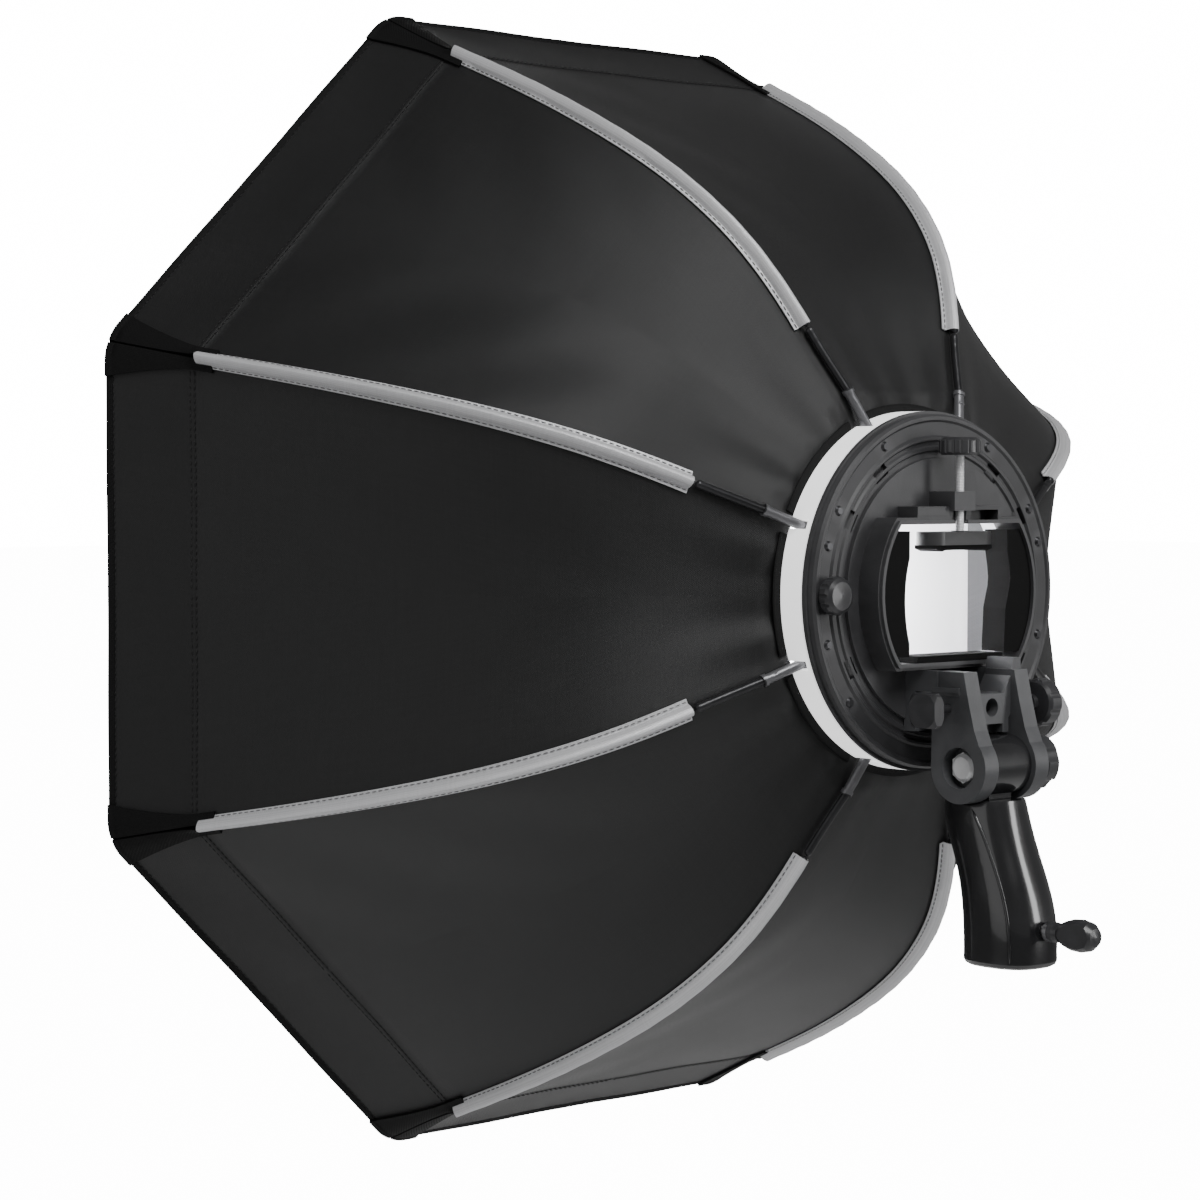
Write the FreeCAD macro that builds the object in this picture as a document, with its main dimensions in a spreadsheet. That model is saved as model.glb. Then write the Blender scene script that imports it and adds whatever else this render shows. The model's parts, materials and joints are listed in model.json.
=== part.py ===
"""Octagonal umbrella-frame softbox on a tilting flash bracket.

A curved grip clamps on a light-stand spigot. A tilt joint above it carries the
bracket head: a yoke casting, a round bayonet ring and a flat-topped round
collar that clamps a flash head with a screw-driven jaw. The softbox hangs on
the bayonet ring: a white drum with eight slots, eight ribs hinged in the slots,
fabric sleeves over the ribs and eight gores of cloth, each made as two halves.

Millimetres. +Z is up, the light leaves along -Y and left is +X, as seen from
behind. The origin is the centre of the mouth of the stand socket. The optical
axis is level, at axis_z above it. "u" is the distance behind the rear face of
the bayonet ring housing, so y = ring_y + u. "rho" is a radius from the optical axis.
"""
import FreeCAD
import Part
import math
import os
import re
import Sketcher

V = FreeCAD.Vector
doc = FreeCAD.newDocument("softbox")

# ---------------------------------------------------------------- dimensions
dims = dict(
    # frame
    axis_z=165.0, ring_y=-48.0, pivot_y=-12.0, pivot_z=88.0,
    # bayonet ring
    ring_rad=82.0, lip_rad=57.6, housing_thk=3.0, cover_rad=80.6, cover_bore=60.8,
    cover_thk=3.5, cover_ridge=4.4, cover_screw_circle=74.4, lock_x=71.5, lock_hole_rad=2.6,
    # collar for the flash head
    collar_rad=53.5, collar_wall=3.0, collar_half=34.0, collar_end=18.5,
    collar_disc_rad=60.75, collar_disc_u=2.8, collar_disc_thk=2.5, pad_thk=18.0, sill_thk=3.0,
    # clamp
    rod_rad=2.0, rod_u=17.4, rod_clear=0.08, rod_tip=1.1,
    clamp_knob_rad=9.5, clamp_knob_len=8.0, clamp_knob_z=62.0,
    jaw_z=18.5, jaw_thk=6.0, jaw_pad_thk=3.0, jaw_half=14.0, jaw_end_rad=7.5, jaw_u=6.4,
    lug_z=36.9, lug_top=45.6, lug_half=7.0,
    # yoke
    yoke_bottom=-62.0, ear_inner=12.6, ear_outer=21.6, ear_rad=16.0,
    foot_u=4.45, foot_hole_x=18.0, foot_hole_z=-57.0, foot_hole_rad=1.6,
    umbrella_rad=4.1, umbrella_z=-51.0,
    # side screws of the yoke: shared tip distance, then each knob's root distance
    side_screw_u=30.0, side_tip=4.4, side_root=29.5, umbrella_root=33.0,
    side_knob_rad=9.9, side_knob_big=11.0, side_shaft_rad=2.0, umbrella_shaft_rad=2.5,
    # tilt joint
    hub_rad=13.6, hub_half=12.4, bolt_rad=3.95, bolt_hole=4.05, bolt_head_rad=7.0,
    bolt_head_thk=7.0, bolt_end=36.0, tilt_knob_rad=12.5, tilt_knob_thk=12.0, tilt_knob_gap=2.2,
    # grip
    socket_rad=8.1, bush_rad=11.0, bush_len=42.0, grip_top=74.5,
    grip_w_low=18.0, grip_d_low=20.0, grip_w_top=14.5, grip_d_top=18.0,
    screw_z=17.0, screw_rad=3.0,
    # softbox drum and flange
    drum_rad=82.0, drum_wall=70.0, drum_front=-15.0, drum_rear=-3.3, drum_web=-7.0,
    drum_bore=57.5, slot_w=4.6, flange_rad=57.1, flange_bore=54.0, lug_rad=60.2,
    # ribs and sleeves
    hinge_rho=77.0, hinge_u=-9.2, pin_rad=1.25, pin_len=14.0,
    tang_thk=4.0, tang_end_rho=99.0, tang_end_u=-16.75,
    rib_rad=1.9, sleeve_rad=4.0, sleeve_bore=3.0,
    # cloth
    cloth=1.0, cloth_gap=4.6, cloth_len=140.0, front_rho=300.0, front_u=-254.4,
    panel_thk=0.8, diffuser_u=-238.0, diffuser_rho=283.0, baffle_u=-100.0, baffle_rho=150.0,
    strap_len=62.0, strap_w=9.0,
)
sheet = doc.addObject("Spreadsheet::Sheet", "Dims")
for row, (alias, value) in enumerate(dims.items(), 1):
    sheet.set("A%d" % row, alias)
    sheet.set("B%d" % row, repr(value))
    sheet.setAlias("B%d" % row, alias)
doc.recompute()
ALIASES = re.compile(r"\b(" + "|".join(dims) + r")\b")

# Turns of a part's own Z axis. "XZ" and "YZ" stand a sketch up in that plane of the
# product, padded towards -Y and +X.
TURNS = {
    "Z": FreeCAD.Rotation(),
    "Y": FreeCAD.Rotation(V(1, 0, 0), -90),
    "X": FreeCAD.Rotation(V(0, 1, 0), 90),
    "-X": FreeCAD.Rotation(V(0, 1, 0), -90),
    "XZ": FreeCAD.Rotation(V(1, 0, 0), 90),
    "YZ": FreeCAD.Rotation(V(1, 1, 1), 120),
}


# ---------------------------------------------------------------- helpers
# Sizes and places are numbers or expressions over the sheet's aliases.
def bind(obj, prop, expr):
    """Binds a property to an expression over the sheet's aliases."""
    obj.setExpression(prop, ALIASES.sub(r"Dims.\1", str(expr)))


def value_of(expr):
    """The value of a plain sum of aliases and numbers."""
    total, sign = 0.0, 1
    for token in str(expr).replace("+", " + ").replace("-", " - ").split():
        if token in "+-":
            sign = 1 if token == "+" else -1
        else:
            total += sign * (dims[token] if token in dims else float(token))
    return total


def polar(radius, degrees):
    angle = math.radians(degrees)
    return round(radius * math.cos(angle), 4), round(radius * math.sin(angle), 4)


def at_u(u, x=0, dz=0):
    """The place u behind the ring housing, x aside from and dz above the optical axis."""
    return x, f"ring_y + ({u})", f"axis_z + ({dz})"


def at_pivot(x, dy=0, dz=0):
    return x, f"pivot_y + ({dy})", f"pivot_z + ({dz})"


def place(obj, base, way="Z"):
    obj.Placement = FreeCAD.Placement(V(0, 0, 0), TURNS[way])
    for axis, expr in zip("xyz", base):
        bind(obj, "Placement.Base." + axis, expr)
    return obj


def primitive(kind, **sizes):
    obj = doc.addObject("Part::" + kind, kind.lower())
    for prop, expr in sizes.items():
        bind(obj, prop, expr)
    return obj


def cyl(radius, height, base, way="Z"):
    return place(primitive("Cylinder", Radius=radius, Height=height), base, way)


def cone(radius1, radius2, height, base, way):
    return place(primitive("Cone", Radius1=radius1, Radius2=radius2, Height=height), base, way)


def box(length, width, height, base):
    return place(primitive("Box", Length=length, Width=width, Height=height), base)


def hex_prism(radius, height, base, way):
    obj = primitive("Prism", Circumradius=radius, Height=height)
    obj.Polygon = 6
    return place(obj, base, way)


def spin(angle):
    """Carries the rib frame (rho on +X, u on +Y, tangent on +Z) to an angle about the
    optical axis, from +X towards +Z."""
    rotation = FreeCAD.Rotation(V(0, 1, 0), -angle)
    return FreeCAD.Placement(V(0, dims["ring_y"], dims["axis_z"]), rotation)


def turned(obj, angle, rho, u, height):
    """Puts a box's corner or a cylinder's end in the rib frame, centred across its height."""
    frame = spin(angle)
    corner = V(value_of(rho), value_of(u), -value_of(height) / 2)
    obj.Placement = FreeCAD.Placement(frame.multVec(corner), frame.Rotation)
    return obj


def turned_boxes(angles, length, width, height, rho, u):
    return [turned(primitive("Box", Length=length, Width=width, Height=height),
                   angle, rho, u, height) for angle in angles]


def multi(kind, objs):
    obj = doc.addObject("Part::Multi" + kind, kind.lower())
    obj.Shapes = list(objs)
    obj.Refine = True
    return obj


def fuse(*objs):
    return multi("Fuse", objs)


def common(*objs):
    return multi("Common", objs)


def cut(base, *tools):
    for tool in tools:
        obj = doc.addObject("Part::Cut", "cut")
        obj.Base, obj.Tool = base, tool
        obj.Refine = True
        base = obj
    return base


def compound(objs):
    obj = doc.addObject("Part::Compound", "group")
    obj.Links = objs
    return obj


nodes = []


def node(obj, name):
    """Labels a finished piece and lists it for export."""
    obj.Label = name
    nodes.append(obj)
    return obj


def shape_node(shape, name):
    obj = doc.addObject("Part::Feature", "shape")
    obj.Shape = shape
    return node(obj, name)


def sketch_polygon(body, plane, points):
    """A closed polygon on one of the body's own origin planes. Every corner is held by
    an axis or by dimensions bound to the sheet."""
    sketch = body.newObject("Sketcher::SketchObject", "sketch")
    sketch.AttachmentSupport = [(f, "") for f in body.Origin.OriginFeatures if f.Role == plane]
    sketch.MapMode = "FlatFace"
    values = [(value_of(a), value_of(b)) for a, b in points]
    for start, end in zip(values, values[1:] + values[:1]):
        sketch.addGeometry(Part.LineSegment(V(*start, 0), V(*end, 0)), False)
    count = len(values)
    for k in range(count):
        sketch.addConstraint(Sketcher.Constraint("Coincident", k, 2, (k + 1) % count, 1))
    for k in range(count):
        for i, (kind, stem, line) in enumerate((("DistanceX", "px", -2), ("DistanceY", "py", -1))):
            value = values[k][i]
            if abs(value) < 1e-9:
                sketch.addConstraint(Sketcher.Constraint("PointOnObject", k, 1, line))
                continue
            index = sketch.addConstraint(Sketcher.Constraint(kind, -1, 1, k, 1, value))
            name = "%s%d" % (stem, k)
            sketch.renameConstraint(index, name)
            bind(sketch, "Constraints." + name, points[k][i])
    return sketch


def revolve(points, base, way="Z"):
    """PartDesign body: polygon (radius, height) turned about the body's Z axis."""
    body = doc.addObject("PartDesign::Body", "body")
    sketch = sketch_polygon(body, "XZ_Plane", points)
    turn = body.newObject("PartDesign::Revolution", "turn")
    turn.Profile = sketch
    turn.ReferenceAxis = (sketch, ["V_Axis"])
    turn.Angle = 360.0
    body.Tip = turn
    doc.recompute()
    return place(body, base, way)


def pad(points, length, base, way):
    """PartDesign body: polygon in the body's XY plane, padded along its Z axis."""
    body = doc.addObject("PartDesign::Body", "body")
    sketch = sketch_polygon(body, "XY_Plane", points)
    extrusion = body.newObject("PartDesign::Pad", "extrusion")
    extrusion.Profile = sketch
    bind(extrusion, "Length", length)
    body.Tip = extrusion
    doc.recompute()
    return place(body, base, way)


# ---------------------------------------------------------------- bayonet ring
COVER_SCREW_ANGLES = [17, 30, 62, 118, 150, 163, 197, 220, 320, 343]
VENT_ANGLES = [30, 55, 125, 150, 210, 330]
FOOT_XS = ("-foot_hole_x", "foot_hole_x")
cover_screw_places = [polar(dims["cover_screw_circle"], a) for a in COVER_SCREW_ANGLES]


def foot_holes(length, u):
    return [cyl("foot_hole_rad", length, at_u(u, x, "foot_hole_z"), "Y") for x in FOOT_XS]


def lock_hole():
    return cyl("lock_hole_rad", 20, at_u(-10, "lock_x"), "Y")


# Housing: a thin ring with a lip that the softbox's three lugs pass and lock behind.
housing = revolve([("lip_rad", 0), ("ring_rad - 1.2", 0), ("ring_rad", 1.0),
                   ("ring_rad", "housing_thk"), ("lip_rad", "housing_thk")],
                  at_u("-housing_thk"), "Y")
gaps = turned_boxes((60, 180, 300), 5, "housing_thk + 2", 46, 55.6, "-housing_thk - 1")
node(cut(housing, fuse(*gaps), lock_hole()), "ring_housing")

# Rear cover, from its bore outwards and back: (radius, height behind the housing).
COVER_PROFILE = [
    ("cover_bore", 0.05), ("cover_rad", 0.05), ("cover_rad", "cover_thk - 0.5"),
    # rim ridge
    ("cover_rad - 1.0", "cover_ridge"), ("cover_rad - 2.6", "cover_ridge"),
    ("cover_rad - 3.6", "cover_thk"),
    # middle ridge
    (71.0, "cover_thk"), (70.0, "cover_thk + 1.1"), (68.9, "cover_thk + 1.1"),
    (67.9, "cover_thk"),
    # inner ridge
    (66.6, "cover_thk"), (65.8, "cover_thk + 0.9"), (64.3, "cover_thk + 0.9"),
    (63.5, "cover_thk"), ("cover_bore", "cover_thk"),
]
cover = revolve(COVER_PROFILE, at_u(0), "Y")
cover_screw_holes = [cyl(1.35, 12, at_u(-1, x, z), "Y") for x, z in cover_screw_places]
vents = turned_boxes(VENT_ANGLES, 6.0, 2.4, 9, 62.6, "cover_thk - 1.6")
node(cut(cover, fuse(*cover_screw_holes), fuse(*vents), fuse(*foot_holes(12, 0.2)), lock_hole()),
     "ring_cover")

# Small screws that hold the cover, and two longer ones through the yoke's foot.
screws = []
for x, z in cover_screw_places:
    shank = cyl(1.25, "cover_thk", at_u(0.3, x, z), "Y")
    head = cone(2.3, 1.5, 1.2, at_u("cover_thk + 0.02", x, z), "Y")
    screws.append(fuse(shank, head))
for x in FOOT_XS:
    shank = cyl(1.5, 9.0, at_u(3.0, x, "foot_hole_z"), "Y")
    head = cyl(3.0, 1.8, at_u(11.5, x, "foot_hole_z"), "Y")
    screws.append(fuse(shank, head))
node(compound(screws), "ring_screws")


# ---------------------------------------------------------------- flash collar
def flat_tube(radius, half, u0, u1):
    """A round bar along the optical axis with its top and bottom cut flat."""
    depth = f"{u1} - ({u0})"
    return common(cyl(radius, depth, at_u(u0), "Y"),
                  box(140, depth, f"2 * ({half})", at_u(u0, -70, f"-({half})")))


collar_body = flat_tube("collar_rad", "collar_half", "collar_disc_u", "collar_end")
brow = box(56, "collar_end - collar_disc_u - 1.2", 5.4,
           at_u("collar_disc_u", -28, "collar_half - 0.5"))
rim_step = cut(
    flat_tube("collar_rad + 1", "collar_half + 1", "collar_end - 1.4", "collar_end + 1"),
    flat_tube("collar_rad - 1.3", "collar_half - 1.3", "collar_end - 2", "collar_end + 2"))
disc = cyl("collar_disc_rad", "collar_disc_thk", at_u("collar_disc_u"), "Y")
lug = box("2 * lug_half", 17.2, "lug_top - lug_z", at_u(3.4, "-lug_half", "lug_z"))
collar_hollow = flat_tube("collar_rad - collar_wall", "collar_half - collar_wall",
                          "collar_disc_u - 2", "collar_end + 2")
rod_hole = cyl("rod_rad + rod_clear", 40, at_u("rod_u", 0, 25))
umbrella_hole = cyl("umbrella_rad + 0.2", 20, at_u(-4, 0, "umbrella_z"), "Y")
rod_slot = box(9, 12, 8.3, at_u(12.4, -4.5, 28.5))
roof_pocket = box(18.5, 8, 4.8, at_u(10.2, -26.5, 32.4))
node(cut(fuse(cut(fuse(collar_body, brow), rim_step), disc, lug), collar_hollow, rod_hole,
         fuse(umbrella_hole, *foot_holes(12, -4)), rod_slot, roof_pocket), "flash_collar")

# Pads on the two round walls of the collar, and a flat sill pad on its floor.
# Wavy right pad, as (x, height above the axis).
RIGHT_PAD = [
    (-60, -28), (-31.5, -28), (-31.8, -21), (-32.2, -16), (-32.6, -8), (-34.0, -3),
    (-35.4, 2), (-35.8, 6), (-35.2, 11), (-33.8, 18), (-33.4, 28), (-60, 28),
]
pad_round = cyl("collar_rad - collar_wall - 0.1", 13.4, at_u("collar_disc_u + 0.6"), "Y")
left_zone = box(30, 16, 56, at_u("collar_disc_u", "collar_rad - collar_wall - pad_thk", -28))
left_hollow = cyl(62, 20, at_u("collar_disc_u - 2", -26.5, -3), "Y")
left_pad = cut(common(pad_round, left_zone), left_hollow)
right_pad = common(pad_round, pad(RIGHT_PAD, 16, at_u("collar_disc_u + 16"), "XZ"))
sill = pad([(-30, 0), (30, 0), (28, "sill_thk"), (-28, "sill_thk")], 15,
           at_u("collar_disc_u + 15.6", 0, "-collar_half + collar_wall + 0.1"), "XZ")
node(compound([left_pad, right_pad, sill]), "collar_pads")

# ---------------------------------------------------------------- clamp
JAW_BASE = "jaw_z + jaw_pad_thk"

# Jaw: a round-ended plate that the rod pushes down onto the flash head.
jaw_plate = fuse(
    box("2 * jaw_half", "2 * jaw_end_rad", "jaw_thk", at_u("jaw_u", "-jaw_half", JAW_BASE)),
    *[cyl("jaw_end_rad", "jaw_thk", at_u("jaw_u + jaw_end_rad", x, JAW_BASE))
      for x in ("jaw_half", "-jaw_half")])
jaw_boss = cyl(4.0, 3.4, at_u("rod_u", 0, f"{JAW_BASE} + jaw_thk - 3"))
jaw_bore = cyl("rod_rad + rod_clear", 10, at_u("rod_u", 0, f"{JAW_BASE} + 1"))
jaw_groove = cyl(3.1, 1.7, at_u("rod_u", 0, f"{JAW_BASE} + 1"))
node(cut(fuse(jaw_plate, jaw_boss), jaw_bore, jaw_groove), "clamp_jaw")

# Pad under the jaw, as (x, height above jaw_z).
JAW_PAD = [
    (-19, 1.4), (-15, 0.2), (-13, 0.8), (13, 0.8), (15, 0.2), (19, 1.4),
    (19, "jaw_pad_thk - 0.02"), (-19, "jaw_pad_thk - 0.02"),
]
node(pad(JAW_PAD, 13, at_u(20.4, 0, "jaw_z"), "XZ"), "jaw_pad")

# Clamp rod with its captive flange, and the fluted knob on its top.
rod_base = at_u("rod_u", 0, f"{JAW_BASE} + rod_tip")
rod = cyl("rod_rad", "clamp_knob_z - jaw_z - jaw_pad_thk + 5 - rod_tip", rod_base)
node(fuse(rod, cyl(3.0, 1.5, rod_base)), "clamp_rod")
knob = revolve([(0, 0), ("clamp_knob_rad - 1.2", 0), ("clamp_knob_rad", 1.2),
                ("clamp_knob_rad", "clamp_knob_len - 1.6"),
                ("clamp_knob_rad - 1.6", "clamp_knob_len"), (0, "clamp_knob_len")],
               at_u("rod_u", 0, "clamp_knob_z"))
flutes = []
for k in range(16):
    x, du = polar(dims["clamp_knob_rad"] + 0.4, 22.5 * k)
    flutes.append(cyl(0.9, 20, at_u(f"rod_u + ({du})", x, "clamp_knob_z - 4")))
knob_bore = cyl("rod_rad + 0.01", 5.05, at_u("rod_u", 0, "clamp_knob_z - 0.02"))
node(cut(knob, fuse(*flutes), knob_bore), "clamp_knob")

# ---------------------------------------------------------------- yoke casting
# Rear plate: two arms that run together above the ears, as (x, height above the axis).
YOKE_PLATE = [
    (-11.3, -64), (13.2, -64), (13.2, -58.4), (22.7, -43.5), (22.7, -41.6),
    (11.5, -41.0), (7.5, -44.8), (-8.0, -44.8), (-13.0, -36.5), (-14.5, -29.2),
    (-19.4, -29.2), (-19.8, -40.0), (-17.0, -49.0), (-11.3, -56.0),
]
# Flank that joins an ear to the head, as (y, z) from the pivot.
EAR_FLANK = [
    (-15.9, 0), (15.9, 0), (12.6, 9.5), (9.4, 17), (6.0, 29.5), (3.0, 42.6),
    (-13.5, 42.6), (-15.4, 29.5),
]


def bolt_bore():
    return cyl("bolt_hole", 80, at_pivot(-40), "X")


yoke_parts = [
    pad(YOKE_PLATE, 15.5, at_u(37), "XZ"),
    # web under the head, bridge between the ears, foot against the ring
    box(22, 30, 15.5, at_u("foot_u", -11, -60)),
    box("2 * ear_inner + 4", 14, 12, at_u(21, "-ear_inner - 2", "yoke_bottom")),
    box(45, 6.95, 24, at_u("foot_u", -22.5, "yoke_bottom")),
]
for x in ("ear_inner", "-ear_outer"):
    yoke_parts.append(cyl("ear_rad", "ear_outer - ear_inner", at_pivot(x), "X"))
    yoke_parts.append(pad(EAR_FLANK, "ear_outer - ear_inner", at_pivot(x), "YZ"))
# braces from the plate's arms forward to the foot
for x, width in ((18.6, 4), (-19.4, 4.6)):
    yoke_parts.append(box(width, 20, 9.4, at_u("foot_u", x, -43.7)))

yoke_cuts = [
    # throat around the hub, open to the front
    cyl("hub_rad + 1.0", "2 * ear_inner", at_pivot("-ear_inner"), "X"),
    box("2 * ear_inner", 40, 15, at_pivot("-ear_inner", -30, -2)),
    # umbrella shaft, tilt bolt and the seat of its head
    cyl("umbrella_rad", 60, at_u(2, 0, "umbrella_z"), "Y"),
    bolt_bore(),
    cyl(9.2, 10, at_pivot("ear_outer - bolt_head_thk"), "X"),
    # left and right side screws, foot screws
    cyl("side_shaft_rad + 0.1", 40, at_u("side_screw_u", 2, "umbrella_z"), "X"),
    cyl("umbrella_shaft_rad + 0.1", 40, at_u("side_screw_u", -42, "umbrella_z"), "X"),
    fuse(*foot_holes(20, 0)),
    # clearance for the collar's disc, and a notch low in the rear plate
    cyl("collar_disc_rad + 0.3", 5.35, at_u(0), "Y"),
    box(15, 7, 7, at_u(31.5, -7.3, -65.4)),
]
node(cut(fuse(*yoke_parts), *yoke_cuts), "yoke_casting")


# Two side screws with knobs, level with the umbrella hole.
def side_knob(radius, thickness, root, way):
    profile = [(0, 0), (4.2, 0), (4.2, 2.5), (f"{radius} - 1.5", 3.5), (radius, 5.0),
               (radius, f"{thickness} - 1.5"), (f"{radius} - 1.8", thickness), (0, thickness)]
    return revolve(profile, at_u("side_screw_u", root, "umbrella_z"), way)


# Left: a round knob squared off on four sides.
KNOB_SQUARE = 15.2
square = box(40, KNOB_SQUARE, KNOB_SQUARE,
             at_u(f"side_screw_u - {KNOB_SQUARE / 2}", 20, f"umbrella_z - {KNOB_SQUARE / 2}"))
shaft = cyl("side_shaft_rad", "side_root - side_tip + 1",
            at_u("side_screw_u", "side_tip", "umbrella_z"), "X")
node(fuse(common(side_knob("side_knob_rad", 9.5, "side_root", "X"), square), shaft),
     "side_lock_knob")

# Right: the larger knob, with nine flutes, locks an umbrella shaft.
flutes = []
for k in range(9):
    du, dz = polar(dims["side_knob_big"] + 1.2, 40 * k + 20)
    flutes.append(cyl(1.9, 20, at_u(f"side_screw_u + ({du})", "-umbrella_root - 22.5",
                                    f"umbrella_z + ({dz})"), "X"))
shaft = cyl("umbrella_shaft_rad", "umbrella_root - side_tip + 1",
            at_u("side_screw_u", "-umbrella_root - 1", "umbrella_z"), "X")
node(fuse(cut(side_knob("side_knob_big", 12.5, "-umbrella_root", "-X"), fuse(*flutes)), shaft),
     "umbrella_lock_knob")

# ---------------------------------------------------------------- tilt joint
BOLT_SEAT = "ear_outer - bolt_head_thk"
KNOB_FACE = "-ear_outer - tilt_knob_gap"

hex_head = fuse(hex_prism("bolt_head_rad", 3.6, at_pivot(f"{BOLT_SEAT} + 0.05"), "X"),
                cone("bolt_head_rad - 0.6", "bolt_head_rad - 2.2", 1.2,
                     at_pivot(f"{BOLT_SEAT} + 3.6"), "X"))
shank = cyl("bolt_rad", f"bolt_end + {BOLT_SEAT} + 1", at_pivot("-bolt_end"), "X")
node(fuse(hex_head, shank), "tilt_bolt")

# Five-lobed knob around the nut.
KNOB_BORE = 5.05
knob = revolve([(KNOB_BORE, 0), ("tilt_knob_rad - 3", 0), ("tilt_knob_rad", 3),
                ("tilt_knob_rad", "tilt_knob_thk - 2.5"),
                ("tilt_knob_rad - 2.5", "tilt_knob_thk"), (KNOB_BORE, "tilt_knob_thk")],
               at_pivot(KNOB_FACE), "-X")
scallops = []
for k in range(5):
    dy, dz = polar(15.2, 72 * k + 18)
    scallops.append(cyl(4.6, 30, at_pivot(f"{KNOB_FACE} - 25", dy, dz), "X"))
node(cut(knob, fuse(*scallops)), "tilt_knob")

nut = hex_prism(5.0, 10, at_pivot(f"{KNOB_FACE} - 9"), "X")
washer = cyl(9.5, 1.8, at_pivot("-ear_outer - 2.0"), "X")
node(cut(fuse(nut, washer), cyl("bolt_hole", 20, at_pivot("-ear_outer - 16"), "X")), "tilt_nut")

# Hub: the barrel between the ears, with a stem that the two grip shells hold.
barrel = cyl("hub_rad", "2 * hub_half", at_pivot("-hub_half"), "X")
stem = box(15, 16, 24, at_pivot(-7.5, -10, -32))
node(cut(fuse(barrel, stem), bolt_bore()), "tilt_hub")

# ---------------------------------------------------------------- grip
GRIP_SCREWS = [(-17, 48), (-15.2, 8), (15.2, 7), (4, 50)]  # (y, z)
STEM_CLEAR = 0.05
pivot_y, pivot_z = dims["pivot_y"], dims["pivot_z"]
low_w, low_d = dims["grip_w_low"], dims["grip_d_low"]
top_w, top_d = dims["grip_w_top"], dims["grip_d_top"]
# Stations up the grip: (z, centre y, half width along X, half depth along Y).
FOOT_STATIONS = [
    (0, 0.4, low_w - 2.2, low_d - 2.2),
    (0.9, 0.4, low_w - 0.7, low_d - 0.7),
    (2.4, 0.4, low_w, low_d),
]
GRIP_STATIONS = [
    FOOT_STATIONS[-1],
    (14, 0.3, low_w, low_d),
    (30, -1.8, low_w - 0.5, low_d - 0.6),
    (46, -6.8, low_w - 1.6, low_d - 1.2),
    (60, -12.0, top_w + 1.4, top_d + 0.9),
    (dims["grip_top"] - 1.2, -14.6, top_w, top_d),
]


def superellipse(z, centre_y, half_w, half_d, power=2.6, count=24):
    """Closed rounded-rectangle-like wire at height z."""
    def stretch(size, wave):
        return size * math.copysign(abs(wave) ** (2 / power), wave)

    points = []
    for k in range(count):
        angle = 2 * math.pi * k / count + 0.13
        points.append(V(stretch(half_w, math.cos(angle)),
                        centre_y + stretch(half_d, math.sin(angle)), z))
    curve = Part.BSplineCurve()
    curve.interpolate(Points=points, PeriodicFlag=True)
    return Part.Wire([curve.toShape()])


X_AXIS, Y_AXIS = V(1, 0, 0), V(0, 1, 0)
grip = Part.makeLoft([superellipse(*row) for row in FOOT_STATIONS], True, True)
grip = grip.fuse(Part.makeLoft([superellipse(*row) for row in GRIP_STATIONS], True, False))
grip_cuts = [
    # room for the ears, the hub's stem, the bush and the locking screw
    Part.makeCylinder(dims["ear_rad"] + 1.0, 60, V(-30, pivot_y, pivot_z), X_AXIS),
    Part.makeBox(15 + 2 * STEM_CLEAR, 16 + 2 * STEM_CLEAR, 50,
                 V(-7.5 - STEM_CLEAR, pivot_y - 10 - STEM_CLEAR, pivot_z - 32 - STEM_CLEAR)),
    Part.makeCylinder(dims["bush_rad"] + 0.05, dims["bush_len"] + 0.1, V(0, 0, -0.05)),
    Part.makeCylinder(dims["screw_rad"] + 0.5, 40, V(0, 0, dims["screw_z"]), Y_AXIS),
]
for y, z in GRIP_SCREWS:
    # screw hole and its counterbore from the right
    grip_cuts.append(Part.makeCylinder(1.55, 37.5, V(-30, y, z), X_AXIS))
    grip_cuts.append(Part.makeCylinder(2.9, 20, V(-28, y, z), X_AXIS))
for tool in grip_cuts:
    grip = grip.cut(tool)
# The two shells part at x = 0, with 0.01 taken off each.
shape_node(grip.cut(Part.makeBox(60.01, 120, 120, V(-60, -60, -10))), "grip_left")
shape_node(grip.cut(Part.makeBox(60, 120, 120, V(-0.01, -60, -10))), "grip_right")
node(compound([fuse(cyl(1.45, 17, (-10, y, z), "X"), cyl(2.7, 1.9, (-9.9, y, z), "X"))
               for y, z in GRIP_SCREWS]), "grip_screws")

# Socket bush for a 16 mm stand spigot, with the cross hole for the locking screw.
bush = revolve([("socket_rad", 0), ("bush_rad", 0), ("bush_rad", "bush_len"),
                ("socket_rad", "bush_len")], (0, 0, 0))
node(cut(bush, cyl("screw_rad + 0.05", 40, (0, 2, "screw_z"), "Y")), "stand_bush")
node(fuse(cyl("screw_rad", 28, (0, 8.4, "screw_z"), "Y"),
          cyl(4.4, 2.0, (0, 22.0, "screw_z"), "Y")), "stand_lock_screw")

# Paddle: a flat waisted handle on the screw's axis, as (radius, distance along the axis).
PADDLE_PROFILE = [
    (0, 0), (4.6, 0), (4.6, 2.5), (4.2, 5), (5.8, 8.5), (7.0, 12.5), (7.3, 17),
    (6.4, 21.5), (4.0, 24.4), (0, 25.2),
]
paddle = common(revolve(PADDLE_PROFILE, (0, 24.3, "screw_z"), "Y"),
                box(9.6, 60, 40, (-4.8, 20, "screw_z - 20")))
node(cut(paddle, cyl("screw_rad + 0.02", 12.2, (0, 24.25, "screw_z"), "Y")),
     "stand_lock_paddle")

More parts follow.
